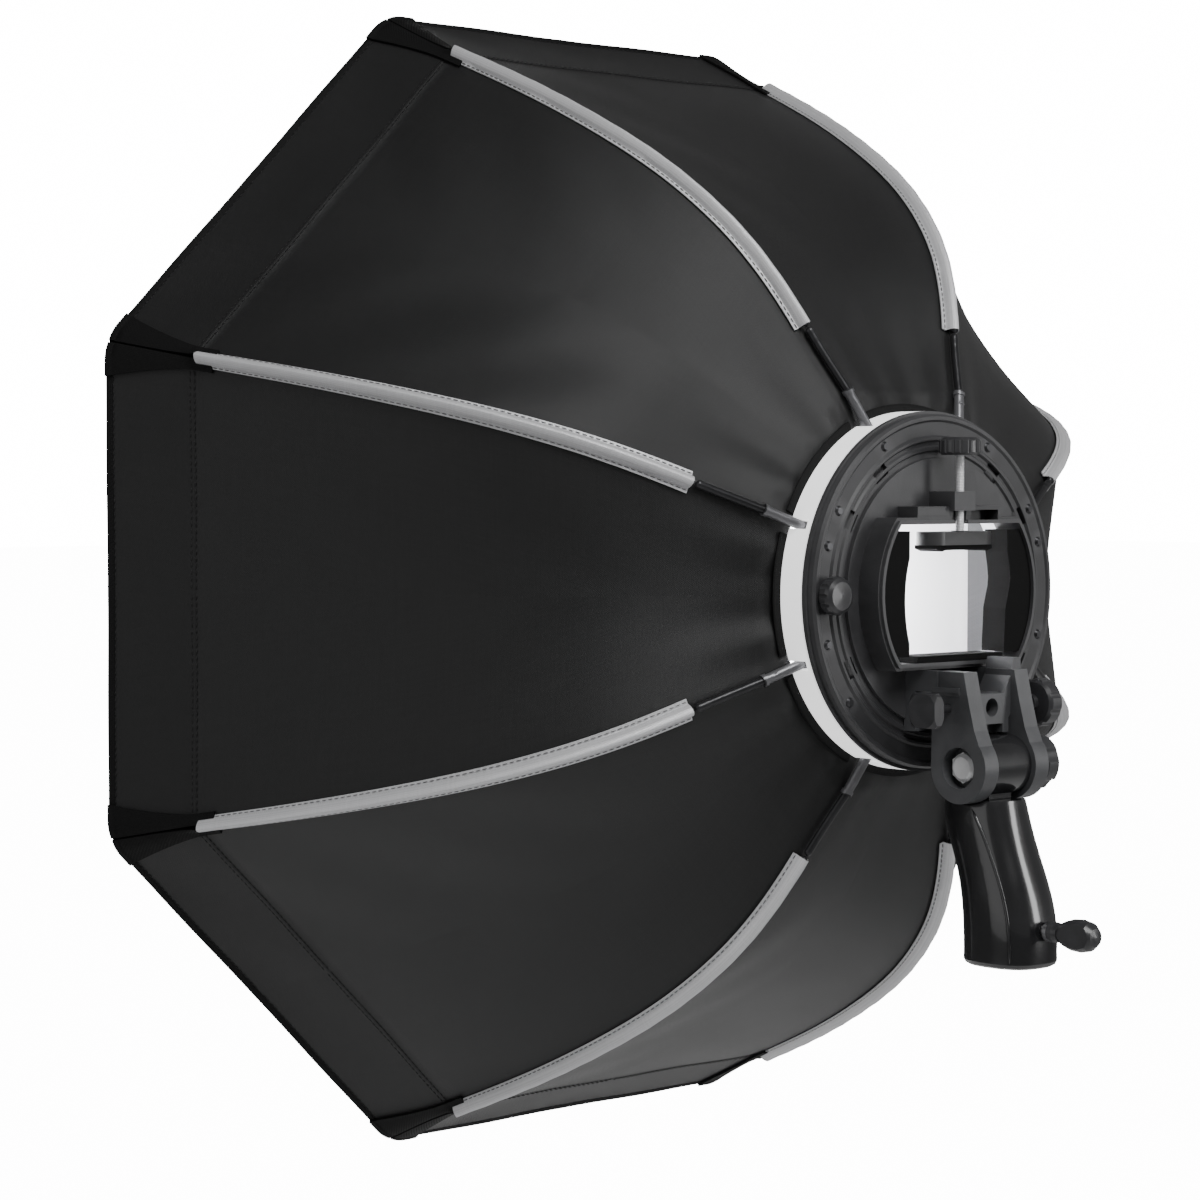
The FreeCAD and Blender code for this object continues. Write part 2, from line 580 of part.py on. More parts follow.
# ---------------------------------------------------------------- bayonet lock
# Its tip bears on the rear face of the softbox's drum. Knob as (radius, distance back).
LOCK_PROFILE = [
    (0, 0), (5.0, 0), (7.8, 1.0), (8.6, 2.2), (8.6, 5.2), (7.9, 6.8), (6.2, 7.9), (0, 8.3),
]
flutes = []
for k in range(12):
    x, dz = polar(9.5, 30 * k)
    flutes.append(cyl(1.5, 20, at_u(4.0, f"lock_x + ({x})", dz), "Y"))
lock_knob = cut(revolve(LOCK_PROFILE, at_u(4.7, "lock_x"), "Y"), fuse(*flutes))
node(fuse(lock_knob, cyl(2.5, 10.2, at_u(-3.15, "lock_x"), "Y")), "bayonet_lock_knob")

# ---------------------------------------------------------------- softbox drum
SIDES = 8
PITCH = 360 / SIDES
RIB_ANGLES = [PITCH / 2 + PITCH * k for k in range(SIDES)]


def hinge_pins(radius, length):
    return [turned(primitive("Cylinder", Radius=radius, Height=length), angle,
                   "hinge_rho", "hinge_u", length) for angle in RIB_ANGLES]


# A rear web with a deep rim, slotted for the ribs.
drum = revolve([("drum_bore", "drum_web - drum_front"), ("drum_bore", "drum_rear - drum_front"),
                ("drum_rad", "drum_rear - drum_front"), ("drum_rad", 0), ("drum_wall", 0),
                ("drum_wall", "drum_web - drum_front")], at_u("drum_front"), "Y")
slots = turned_boxes(RIB_ANGLES, "drum_rad - drum_wall + 6", 11.2, "slot_w",
                     "drum_wall + 2.5", "drum_front - 1.0")
node(cut(drum, fuse(*slots), fuse(*hinge_pins("pin_rad + 0.03", "pin_len + 0.2"))),
     "speedring_drum")
node(compound(hinge_pins("pin_rad", "pin_len")), "hinge_pins")

# Bayonet flange: a plate on the front of the drum's web and a tube with three lugs.
flange = revolve([("flange_bore", 0), (67, 0), (67, 1.9), ("flange_rad", 1.9),
                  ("flange_rad", 11.3), ("flange_bore", 11.3)], at_u(-9.0), "Y")
lug_ring = revolve([("flange_rad - 0.5", 0), ("lug_rad", 0), ("lug_rad", 2.0),
                    ("flange_rad - 0.5", 2.0)], at_u(0.3), "Y")
sectors = turned_boxes((100, 220, 340), 30, 6, 38, 45, -2)
node(fuse(flange, common(lug_ring, fuse(*sectors))), "bayonet_flange")

# ---------------------------------------------------------------- ribs and sleeves
# These shapes are built in the rib frame and spun into place.
# The rib's centre line, as (rho, u).
RIB = [
    (84.3, -9.6), (103.5, -18.9), (121.5, -27.0), (139.5, -34.4), (156.9, -42.8),
    (174.6, -54.0), (192.9, -69.9), (212.1, -91.8), (232.5, -122.1), (254.7, -162.0),
    (278.8, -213.3),
]
# Where the rod and sleeve begin and end, as fractions of the centre line.
ROD_START, ROD_END = 0.03, 0.985
SLEEVE_START, SLEEVE_END = 0.178, 0.992


def spline(points):
    curve = Part.BSplineCurve()
    curve.interpolate([V(rho, u, 0) for rho, u in points])
    return curve


def parameter(curve, fraction):
    first, last = curve.FirstParameter, curve.LastParameter
    return first + (last - first) * fraction


def pipe(curve, start, end, radius):
    first = parameter(curve, start)
    edge = curve.toShape(first, parameter(curve, end))
    circle = Part.makeCircle(radius, curve.value(first), curve.tangent(first)[0])
    return Part.Wire([edge]).makePipeShell([Part.Wire([circle])], True, True)


rib_curve = spline(RIB)
rod = pipe(rib_curve, ROD_START, ROD_END, dims["rib_rad"])
sleeve = pipe(rib_curve, SLEEVE_START, SLEEVE_END, dims["sleeve_rad"])
sleeve = sleeve.cut(pipe(rib_curve, SLEEVE_START - 0.01, SLEEVE_END - 0.004,
                         dims["sleeve_bore"]))

# Tang: an eye on the hinge pin, flattened to fit the slot, and a stem along the rib.
hinge_rho, hinge_u, tang_thk = dims["hinge_rho"], dims["hinge_u"], dims["tang_thk"]
hinge = V(hinge_rho, hinge_u, 0)
stem_dir = V(dims["tang_end_rho"], dims["tang_end_u"], 0) - hinge
stem_len = stem_dir.Length
stem_dir.normalize()
tang = Part.makeCylinder(3.3, tang_thk, V(hinge_rho, hinge_u, -tang_thk / 2))
tang = tang.fuse(Part.makeCylinder(2.3, stem_len, hinge, stem_dir))
tang = tang.fuse(Part.makeCylinder(2.8, 2.2, hinge + stem_dir * (stem_len - 2.2), stem_dir))
beyond = Part.makeBox(80, 80, 20, V(hinge_rho - 40, hinge_u - 40, tang_thk / 2))
eye_zone = Part.makeCylinder(9.0, 30, V(hinge_rho, hinge_u, -15))
tang = tang.cut(beyond.common(eye_zone))
tang = tang.cut(beyond.mirror(V(0, 0, 0), V(0, 0, 1)).common(eye_zone))
tang = tang.cut(Part.makeCylinder(dims["pin_rad"] + 0.06, 10, V(hinge_rho, hinge_u, -5)))
rib = rod.fuse(tang).removeSplitter()
for k, angle in enumerate(RIB_ANGLES, 1):
    shape_node(rib.copy(), "rib_%d" % k).Placement = spin(angle)
    shape_node(sleeve.copy(), "rib_sleeve_%d" % k).Placement = spin(angle)

# ---------------------------------------------------------------- gores
# A panel of cloth runs straight across from rib to rib. Each half of it is a bent
# strip from the middle of the panel, cut at the rib's plane.
MIDDLE_GAP, RIB_GAP = 0.3, 0.5


def inward_points(curve, distance, start, steps):
    """Points from start to the curve's end, moved towards the inside of the softbox."""
    points = []
    for k in range(steps + 1):
        param = parameter(curve, start + (1.0 - start) * k / steps)
        point, tangent = curve.value(param), curve.tangent(param)[0]
        normal = V(-tangent.y, tangent.x, 0)
        if normal.x + normal.y < 0:
            normal = normal * -1
        points.append((point.x - normal.x * distance, point.y - normal.y * distance))
    return points


def thickened(points, thickness):
    """The points moved square to the line through their neighbours."""
    moved = []
    for k, (rho, u) in enumerate(points):
        before, after = points[max(0, k - 1)], points[min(len(points) - 1, k + 1)]
        run, rise = after[0] - before[0], after[1] - before[1]
        scale = thickness / math.hypot(run, rise)
        moved.append((rho + rise * scale, u - run * scale))
    return moved


def joint(start, end):
    return Part.makeLine(V(*start, 0), V(*end, 0))


half_pitch = math.radians(PITCH / 2)
ridge = [(84.6, -15.6)] + inward_points(rib_curve, dims["cloth_gap"], 0.09, 20)
ridge.append((dims["front_rho"] - 1.0, dims["front_u"]))
# The middle of a panel is nearer to the optical axis than the ribs are.
face_line = [(rho * math.cos(half_pitch), u) for rho, u in ridge]
back_line = thickened(face_line, dims["cloth"])
strip = Part.Face(Part.Wire([spline(face_line).toShape(), joint(face_line[-1], back_line[-1]),
                             spline(back_line).toShape(), joint(back_line[0], face_line[0])]))
strip = strip.extrude(V(0, 0, dims["cloth_len"]))
strip.translate(V(0, 0, MIDDLE_GAP))
# The knife takes everything beyond the rib's plane, and the rib gap.
knife = Part.makeBox(500, 600, 300, V(-60, -400, 0))
knife.Placement = FreeCAD.Placement(V(0, 0, 0), FreeCAD.Rotation(V(0, 1, 0), -PITCH / 2))
knife.translate(V(math.sin(half_pitch), 0, -math.cos(half_pitch)) * RIB_GAP)
half = strip.cut(knife)
half_mirror = half.mirror(V(0, 0, 0), V(0, 0, 1))
# A half carries the number of the rib it meets.
for k, angle in enumerate(RIB_ANGLES):
    middle = spin(angle + PITCH / 2)
    shape_node(half_mirror.copy(), "gore_%d_a" % (k + 1)).Placement = middle
    shape_node(half.copy(), "gore_%d_b" % ((k + 1) % SIDES + 1)).Placement = middle


# ---------------------------------------------------------------- diffuser and baffle
def octagon(rho, u):
    points = [spin(angle).multVec(V(rho, u, 0)) for angle in RIB_ANGLES]
    return Part.Face(Part.makePolygon(points + points[:1])).extrude(V(0, dims["panel_thk"], 0))


shape_node(octagon(dims["diffuser_rho"], dims["diffuser_u"]), "front_diffuser")
# The baffle has a strap out along each rib's plane.
baffle = octagon(dims["baffle_rho"], dims["baffle_u"])
for angle in RIB_ANGLES:
    strap = Part.makeBox(dims["strap_len"], dims["panel_thk"], dims["strap_w"],
                         V(dims["baffle_rho"] - 4, dims["baffle_u"], -dims["strap_w"] / 2))
    strap.Placement = spin(angle)
    baffle = baffle.fuse(strap)
shape_node(baffle.removeSplitter(), "inner_baffle")

# ---------------------------------------------------------------- state and export
doc.recompute()
bad = [(obj.Name, obj.Label, obj.State) for obj in doc.Objects
       if "Invalid" in obj.State or "Error" in obj.State]
for obj in nodes:
    if obj.Shape.isNull() or not obj.Shape.isValid() or not obj.Shape.Solids:
        bad.append((obj.Name, obj.Label, "null, invalid or no solid"))
if bad:
    raise SystemExit("failed objects: %s" % bad)
os.makedirs("parts", exist_ok=True)
for obj in nodes:
    obj.Shape.exportStep(os.path.join("parts", obj.Label + ".step"))
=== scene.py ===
"""Looks for an octagonal softbox and its tilting flash bracket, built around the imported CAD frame.

The optical axis lies along Y. The softbox opens towards -Y, the bracket's ring is at its rear (+Y)
and Z is up. Shapes are worked out in mm and turned into metres when they become vertices.
Cloth and sleeves use a rib frame: radius from the optical axis, u along Y from the ring housing's
rear face, and a tangent distance sideways from the rib.
"""
import bpy
import bmesh
import json
import math
import numpy as np
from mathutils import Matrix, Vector
from mathutils.bvhtree import BVHTree

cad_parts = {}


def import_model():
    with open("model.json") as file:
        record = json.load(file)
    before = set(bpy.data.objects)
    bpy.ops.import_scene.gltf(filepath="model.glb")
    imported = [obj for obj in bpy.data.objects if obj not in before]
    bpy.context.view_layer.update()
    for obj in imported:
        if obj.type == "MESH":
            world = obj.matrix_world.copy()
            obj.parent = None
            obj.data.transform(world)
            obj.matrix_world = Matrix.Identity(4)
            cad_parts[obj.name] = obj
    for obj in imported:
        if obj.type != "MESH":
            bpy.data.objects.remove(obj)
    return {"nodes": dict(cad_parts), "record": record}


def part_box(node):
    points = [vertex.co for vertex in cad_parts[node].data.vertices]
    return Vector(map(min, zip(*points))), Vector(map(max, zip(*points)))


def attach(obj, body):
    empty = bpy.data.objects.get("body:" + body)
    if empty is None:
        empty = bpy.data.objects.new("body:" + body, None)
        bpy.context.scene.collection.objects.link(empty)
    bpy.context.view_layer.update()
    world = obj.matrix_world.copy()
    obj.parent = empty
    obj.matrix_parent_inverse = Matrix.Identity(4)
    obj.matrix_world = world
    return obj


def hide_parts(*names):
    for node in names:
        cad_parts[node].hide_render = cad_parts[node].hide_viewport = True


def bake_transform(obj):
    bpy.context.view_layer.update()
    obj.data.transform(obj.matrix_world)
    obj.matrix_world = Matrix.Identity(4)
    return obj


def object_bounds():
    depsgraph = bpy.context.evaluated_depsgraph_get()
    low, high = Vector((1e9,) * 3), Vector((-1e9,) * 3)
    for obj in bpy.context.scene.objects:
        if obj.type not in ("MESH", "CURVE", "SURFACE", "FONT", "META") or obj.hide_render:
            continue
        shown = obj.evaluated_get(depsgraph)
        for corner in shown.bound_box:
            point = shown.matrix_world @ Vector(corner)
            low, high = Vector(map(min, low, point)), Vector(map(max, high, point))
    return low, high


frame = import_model()
cad_box = [[float(c) for c in corner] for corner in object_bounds()]
NODES = frame["nodes"]
JOINTS = {j["name"]: j for j in frame["record"]["behaviour"]["joints"]}

# ------------------------------------------------------------------ driving dimensions, mm
ring_lo, ring_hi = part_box("ring_housing")
RING_Y = max(ring_lo[1], ring_hi[1]) * 1000.0            # rear face of the ring housing
AXIS_Z = (ring_lo[2] + ring_hi[2]) / 2 * 1000.0          # height of the optical axis


def rib_angle(number):
    """Angle of a rib's hinge around the optical axis, in degrees."""
    hinge = JOINTS["rib_%d_fold" % number]["pos_m"]
    return math.degrees(math.atan2(hinge[2] * 1000 - AXIS_Z, hinge[0] * 1000))


RIB_NUMBERS = range(1, 9)
RIB_ANGLES = [rib_angle(number) for number in RIB_NUMBERS]
SIDES = (("a", 1), ("b", -1))        # half gores: letter, direction along the tangent
HALF_GORE = 22.5                     # degrees
C22, S22 = math.cos(math.radians(HALF_GORE)), math.sin(math.radians(HALF_GORE))

# Centre line of an open rib: radius, u
RIB_POINTS = [
    (84.3, -9.6), (103.5, -18.9), (121.5, -27.0), (139.5, -34.4), (156.9, -42.8), (174.6, -54.0),
    (192.9, -69.9), (212.1, -91.8), (232.5, -122.1), (254.7, -162.0), (278.8, -213.3)]
FRONT_CORNER = np.array([299.0, -254.4])     # corner of the front hem: radius, u
CLOTH_START = [81.2, -15.9]                  # the cloth's edge at the drum: radius, u

CAMERA_POS = Vector((1.05276, 0.89321, 0.21731))     # metres


# ------------------------------------------------------------------ curves and frames
def arc_length(points):
    """Distance along a polyline at each of its points."""
    return np.r_[0, np.cumsum(np.linalg.norm(np.diff(points, axis=0), axis=1))]


def spline(points, count):
    """Natural cubic through the points by chord length, at count even parameters."""
    points = np.asarray(points, float)
    knots = arc_length(points)
    size = len(points)
    step = np.diff(knots)
    system = np.eye(size)
    right = np.zeros((size, points.shape[1]))
    for i in range(1, size - 1):
        system[i, i - 1:i + 2] = step[i - 1], 2 * (step[i - 1] + step[i]), step[i]
        right[i] = 6 * ((points[i + 1] - points[i]) / step[i]
                        - (points[i] - points[i - 1]) / step[i - 1])
    second = np.linalg.solve(system, right)      # second derivatives at the knots
    curve = []
    for t in np.linspace(0, knots[-1], count):
        i = min(max(np.searchsorted(knots, t) - 1, 0), size - 2)
        a, b = (knots[i + 1] - t) / step[i], (t - knots[i]) / step[i]
        bend = (a ** 3 - a) * second[i] + (b ** 3 - b) * second[i + 1]
        curve.append(a * points[i] + b * points[i + 1] + bend * step[i] ** 2 / 6)
    return np.array(curve)


def inward(curve):
    """Unit normals of a (radius, u) polyline that point to the inside of the softbox."""
    tangent = np.gradient(curve, axis=0)
    tangent /= np.linalg.norm(tangent, axis=1)[:, None]
    normal = np.c_[-tangent[:, 1], tangent[:, 0]]
    normal[normal[:, 0] + normal[:, 1] > 0] *= -1
    return normal


def direction(angle, radial, axial, tangent):
    """Turns a rib-frame vector into x, y, z."""
    c, s = math.cos(math.radians(angle)), math.sin(math.radians(angle))
    return np.stack([radial * c - tangent * s, axial, radial * s + tangent * c], -1)


def world(angle, radius, u, tangent):
    """Rib-frame place in mm to x, y, z in metres."""
    return (direction(angle, radius, u, tangent) + np.array([0, RING_Y, AXIS_Z])) / 1000.0


def grid_to_world(grid, angle, side=1):
    """Grid of (radius, u, tangent) to metres; side -1 mirrors it across the rib."""
    return world(angle, grid[:, :, 0], grid[:, :, 1], side * grid[:, :, 2])


# ------------------------------------------------------------------ mesh helpers
def mesh_object(name, verts, faces, mats, uvs, face_mats=None):
    """Smooth-shaded object with one UV pair per vertex."""
    me = bpy.data.meshes.new(name)
    me.from_pydata([tuple(v) for v in verts], [], faces)
    me.validate()
    obj = bpy.data.objects.new(name, me)
    bpy.context.scene.collection.objects.link(obj)
    for mat in mats:
        me.materials.append(mat)
    if face_mats is not None:
        me.polygons.foreach_set("material_index", face_mats)
    layer = me.uv_layers.new(name="UVMap")
    loop_verts = np.zeros(len(me.loops), dtype=np.int64)
    me.loops.foreach_get("vertex_index", loop_verts)
    layer.data.foreach_set("uv", np.asarray(uvs, np.float32)[loop_verts].ravel())
    me.polygons.foreach_set("use_smooth", [True] * len(me.polygons))
    bm = bmesh.new()
    bm.from_mesh(me)
    bmesh.ops.recalc_face_normals(bm, faces=bm.faces)
    bm.to_mesh(me)
    bm.free()
    me.update()
    return obj


def sharpen(obj, angle):
    """Marks edges sharper than the angle in degrees, so that smooth shading breaks there."""
    bm = bmesh.new()
    bm.from_mesh(obj.data)
    for edge in bm.edges:
        if len(edge.link_faces) == 2 and edge.calc_face_angle(0.0) > math.radians(angle):
            edge.smooth = False
    bm.to_mesh(obj.data)
    bm.free()


def shell(name, top, bottom, mats, uv, row_mats=None, bottom_mat=0):
    """Closed thin shell from two matching grids (rows, cols, 3); the rim takes material 0."""
    rows, cols = top.shape[:2]
    half = rows * cols
    verts = np.concatenate([top.reshape(-1, 3), bottom.reshape(-1, 3)])
    uvs = np.concatenate([uv.reshape(-1, 2)] * 2)
    faces, face_mats = [], []
    for i in range(rows - 1):
        for j in range(cols - 1):
            a, b = i * cols + j, i * cols + j + 1
            c, d = b + cols, a + cols
            faces.append((a, b, c, d))
            face_mats.append(row_mats[i] if row_mats else 0)
            faces.append((half + d, half + c, half + b, half + a))
            face_mats.append(bottom_mat)
    rim = [j for j in range(cols)]
    rim += [i * cols + cols - 1 for i in range(1, rows)]
    rim += [(rows - 1) * cols + j for j in range(cols - 2, -1, -1)]
    rim += [i * cols for i in range(rows - 2, 0, -1)]
    for a, b in zip(rim, rim[1:] + rim[:1]):
        faces.append((a, half + a, half + b, b))
        face_mats.append(0)
    obj = mesh_object(name, verts, faces, mats, uvs, face_mats)
    sharpen(obj, 50)
    return obj


def loft_faces(ring_count, seg, first=0):
    """Side faces and two end caps over rings of seg vertices, from vertex number first."""
    faces = []
    for i in range(ring_count - 1):
        for j in range(seg):
            a = first + i * seg + j
            b = first + i * seg + (j + 1) % seg
            faces.append((a, b, b + seg, a + seg))
    last = first + (ring_count - 1) * seg
    faces.append(tuple(range(first, first + seg))[::-1])
    faces.append(tuple(range(last, last + seg)))
    return faces


# ------------------------------------------------------------------ shader helpers
def new_mat(name):
    mat = bpy.data.materials.new(name)
    mat.use_nodes = True
    nt = mat.node_tree
    nt.nodes.clear()
    out = nt.nodes.new("ShaderNodeOutputMaterial")
    bsdf = nt.nodes.new("ShaderNodeBsdfPrincipled")
    nt.links.new(bsdf.outputs[0], out.inputs[0])
    return mat, nt, bsdf


def set_inputs(node, values):
    for key, value in values.items():
        node.inputs[key].default_value = value


def add_node(nt, kind, **inputs):
    node = nt.nodes.new(kind)
    set_inputs(node, inputs)
    return node


def math_node(nt, operation, *values):
    """Math node on numbers or sockets; returns its output."""
    node = nt.nodes.new("ShaderNodeMath")
    node.operation = operation
    for i, value in enumerate(values):
        if isinstance(value, (int, float)):
            node.inputs[i].default_value = value
        else:
            nt.links.new(value, node.inputs[i])
    return node.outputs[0]


def ramp(nt, factor, low, high):
    """Colour ramp between two (position, colour) stops."""
    node = nt.nodes.new("ShaderNodeValToRGB")
    for element, (position, colour) in zip(node.color_ramp.elements, (low, high)):
        element.position = position
        element.color = colour
    nt.links.new(factor, node.inputs[0])
    return node.outputs[0]


def noise(nt, vector, **inputs):
    node = add_node(nt, "ShaderNodeTexNoise", **inputs)
    nt.links.new(vector, node.inputs["Vector"])
    return node.outputs[0]


def stretched_noise(nt, vector, stretch, scale):
    """Noise that runs in streaks: stretch scales the coordinates."""
    mapping = add_node(nt, "ShaderNodeMapping", Scale=stretch)
    nt.links.new(vector, mapping.inputs[0])
    return noise(nt, mapping.outputs[0], Scale=scale, Detail=2.0)


def mix_colour(nt, factor, socket, colour):
    """Goes from the socket's colour to a fixed colour."""
    node = nt.nodes.new("ShaderNodeMix")
    node.data_type = "RGBA"
    nt.links.new(factor, node.inputs[0])
    nt.links.new(socket, node.inputs[6])
    node.inputs[7].default_value = colour
    return node.outputs[2]


def add_bump(nt, bsdf, height, strength, distance):
    bump = add_node(nt, "ShaderNodeBump", Strength=strength, Distance=distance)
    nt.links.new(height, bump.inputs["Height"])
    nt.links.new(bump.outputs[0], bsdf.inputs["Normal"])


# painted glow: emission that brightens a part which is no lamp
def add_painted_glow(bsdf, strength):
    set_inputs(bsdf, {"Emission Color": (1, 1, 1, 1), "Emission Strength": strength})


def grey(value):
    return (value, value, value * 1.02, 1.0)


# ------------------------------------------------------------------ materials
def cloth_material(name, dark, light, pitch_mm, rough, sheen=0.0, metallic=0.0, bump=0.3,
                   glow=0.0, spec=0.5):
    """Woven cloth from UVs in metres: over-and-under threads, slubs and slow tone variation."""
    mat, nt, bsdf = new_mat(name)
    uv = nt.nodes.new("ShaderNodeUVMap").outputs[0]
    axes = nt.nodes.new("ShaderNodeSeparateXYZ")
    nt.links.new(uv, axes.inputs[0])
    wave = math.pi / (pitch_mm / 1000.0)
    wave_x = math_node(nt, "SINE", math_node(nt, "MULTIPLY", axes.outputs[0], wave))
    wave_y = math_node(nt, "SINE", math_node(nt, "MULTIPLY", axes.outputs[1], wave))
    weave = math_node(nt, "MULTIPLY", wave_x, wave_y)
    abs_x = math_node(nt, "ABSOLUTE", wave_x)
    abs_y = math_node(nt, "ABSOLUTE", wave_y)
    over = math_node(nt, "MULTIPLY", abs_x, math_node(nt, "GREATER_THAN", weave, 0.0))
    under = math_node(nt, "MULTIPLY", abs_y, math_node(nt, "LESS_THAN", weave, 0.0))
    thread = math_node(nt, "MAXIMUM", over, under)
    # slubs: long streaks along both thread directions
    streak_y = stretched_noise(nt, uv, stretch=(900, 30, 1), scale=1.0)
    streak_x = stretched_noise(nt, uv, stretch=(30, 900, 1), scale=1.0)
    slub = math_node(nt, "ADD", streak_y, streak_x)
    slow = noise(nt, uv, Scale=14.0, Detail=3.0)
    # shares of the thread, the slubs and the slow variation in the tone
    uneven = math_node(nt, "ADD", math_node(nt, "MULTIPLY", slub, 0.28),
                       math_node(nt, "MULTIPLY", slow, 0.15))
    tone = math_node(nt, "ADD", math_node(nt, "MULTIPLY", thread, 0.45), uneven)
    nt.links.new(ramp(nt, tone, low=(0.15, dark), high=(0.85, light)), bsdf.inputs["Base Color"])
    # roughness varies by 0.12 around its middle value
    roughness = math_node(nt, "ADD", math_node(nt, "MULTIPLY", slow, 0.12), rough - 0.06)
    nt.links.new(roughness, bsdf.inputs["Roughness"])
    set_inputs(bsdf, {"Metallic": metallic, "Sheen Weight": sheen, "Sheen Roughness": 0.45,
                      "Specular IOR Level": spec})
    height = math_node(nt, "ADD", thread, math_node(nt, "MULTIPLY", slub, 0.6))
    add_bump(nt, bsdf, height, strength=bump, distance=0.0002)
    # glow paints light into the cloth as emission
    if glow:
        add_painted_glow(bsdf, glow)
    return mat


def hard_material(name, base, rough, grain=0.15, grain_scale=900.0, metallic=0.0, coat=0.0,
                  wear=0.25, wear_col=None, spec=0.5, brushed=0.0, glow=0.0):
    """Moulded or metal surface: fine grain, slow tone change, lighter worn edges."""
    mat, nt, bsdf = new_mat(name)
    place = nt.nodes.new("ShaderNodeTexCoord").outputs["Object"]
    fine = noise(nt, place, Scale=grain_scale, Detail=3.0, Roughness=0.6)
    slow = noise(nt, place, Scale=38.0, Detail=4.0, Roughness=0.6)
    geometry = nt.nodes.new("ShaderNodeNewGeometry")
    edge = ramp(nt, geometry.outputs["Pointiness"],
                low=(0.50, (0, 0, 0, 1)), high=(0.58, (1, 1, 1, 1)))
    worn = math_node(nt, "MULTIPLY", edge, math_node(nt, "MULTIPLY", slow, 2.0 * wear))
    darker = tuple(c * 0.82 for c in base) + (1,)
    lighter = tuple(min(1, c * 1.2) for c in base) + (1,)
    tone = ramp(nt, slow, low=(0.3, darker), high=(0.7, lighter))
    wear_col = wear_col or tuple(min(1, c * 2.2 + 0.05) for c in base) + (1,)
    nt.links.new(mix_colour(nt, worn, tone, wear_col), bsdf.inputs["Base Color"])
    # roughness varies by 0.16 around its middle value
    roughness = math_node(nt, "ADD", math_node(nt, "MULTIPLY", slow, 0.16), rough - 0.08)
    nt.links.new(roughness, bsdf.inputs["Roughness"])
    set_inputs(bsdf, {"Metallic": metallic, "Coat Weight": coat, "Coat Roughness": 0.08,
                      "Specular IOR Level": spec})
    height = fine
    if brushed:
        streaks = stretched_noise(nt, place, stretch=(brushed, 40, 40), scale=30.0)
        height = math_node(nt, "ADD", fine, streaks)
    add_bump(nt, bsdf, height, strength=grain, distance=0.00015)
    # glow paints light into the surface as emission
    if glow:
        add_painted_glow(bsdf, glow)
    return mat


M_BLACK = cloth_material("black_nylon", grey(0.006), grey(0.016), pitch_mm=0.42, rough=0.40,
                         sheen=0.04, spec=0.38)
M_BAND = cloth_material("black_band", grey(0.006), grey(0.015), pitch_mm=0.50, rough=0.46,
                        sheen=0.03, spec=0.34)
M_TAPE = cloth_material("black_tape", grey(0.001), grey(0.005), pitch_mm=0.9, rough=0.68,
                        bump=0.5, spec=0.2)
M_SILVER = cloth_material("silver_lining", grey(0.45), grey(0.75), pitch_mm=0.8, rough=0.34,
                          metallic=0.85, bump=0.5)
M_SLEEVE = cloth_material("silver_sleeve", grey(0.50), grey(0.78), pitch_mm=0.55, rough=0.40,
                          sheen=0.2, metallic=0.30, bump=0.35)
# the white diffuser cloth has a painted glow: emission that makes it look whiter than its lighting
# does
M_WHITE = cloth_material("white_diffuser", grey(0.80), grey(0.92), pitch_mm=0.35, rough=0.75,
                         sheen=0.1, bump=0.2, glow=0.12)
M_THREAD = cloth_material("thread", grey(0.003), grey(0.008), pitch_mm=0.3, rough=0.6)
M_GREY_THREAD = cloth_material("grey_thread", grey(0.10), grey(0.22), pitch_mm=0.3, rough=0.5,
                               sheen=0.2)
M_PLASTIC = hard_material("black_plastic", (0.020, 0.020, 0.021), rough=0.38, grain=0.25)
M_RING = hard_material("ring_plastic", (0.034, 0.034, 0.036), rough=0.46, grain=0.45,
                       grain_scale=1100)
M_KNOB = hard_material("knob_plastic", (0.026, 0.026, 0.028), rough=0.34, grain=0.2, coat=0.15)
M_CASTING = hard_material("grey_casting", (0.046, 0.047, 0.050), rough=0.40, grain=0.40,
                          grain_scale=700, spec=0.6)
M_GRIP = hard_material("gloss_black", (0.010, 0.010, 0.011), rough=0.24, grain=0.04, coat=0.8,
                       wear=0.1)
# painted glow: emission makes the thin white plastic look brighter than its lighting makes it
M_WHITE_PLASTIC = hard_material("white_plastic", (0.90, 0.905, 0.92), rough=0.34, grain=0.10,
                                wear=0.1, wear_col=(0.75, 0.75, 0.77, 1), glow=1.1)
M_BRIGHT = hard_material("bright_zinc", (0.86, 0.86, 0.88), rough=0.30, grain=0.05,
                         metallic=0.45, wear=0.0)
M_STEEL = hard_material("steel", (0.30, 0.30, 0.31), rough=0.34, grain=0.10, metallic=1.0,
                        wear=0.2, brushed=400)
M_DARK_STEEL = hard_material("dark_screw", (0.07, 0.07, 0.074), rough=0.30, grain=0.08,
                             metallic=0.8, wear=0.2)
M_RUBBER = hard_material("rubber", (0.004, 0.004, 0.004), rough=0.8, grain=0.6, grain_scale=1400,
                         wear=0.05, wear_col=(0.012, 0.012, 0.012, 1), spec=0.15)
M_ALU = hard_material("bush_metal", (0.50, 0.50, 0.52), rough=0.30, grain=0.08, metallic=1.0,
                      wear=0.1, brushed=300)

CAD_MATS = {
    "ring_housing": M_RING, "ring_cover": M_RING, "ring_screws": M_DARK_STEEL,
    "flash_collar": M_RING, "collar_pads": M_RUBBER, "clamp_jaw": M_PLASTIC,
    "jaw_pad": M_RUBBER, "clamp_rod": M_BRIGHT, "clamp_knob": M_KNOB,
    "yoke_casting": M_CASTING, "side_lock_knob": M_KNOB, "umbrella_lock_knob": M_KNOB,
    "tilt_bolt": M_BRIGHT, "tilt_knob": M_KNOB, "tilt_nut": M_STEEL, "tilt_hub": M_GRIP,
    "grip_left": M_GRIP, "grip_right": M_GRIP, "grip_screws": M_STEEL, "stand_bush": M_ALU,
    "stand_lock_screw": M_STEEL, "stand_lock_paddle": M_KNOB, "bayonet_lock_knob": M_KNOB,
    "speedring_drum": M_WHITE_PLASTIC, "bayonet_flange": M_ALU, "hinge_pins": M_STEEL,
}
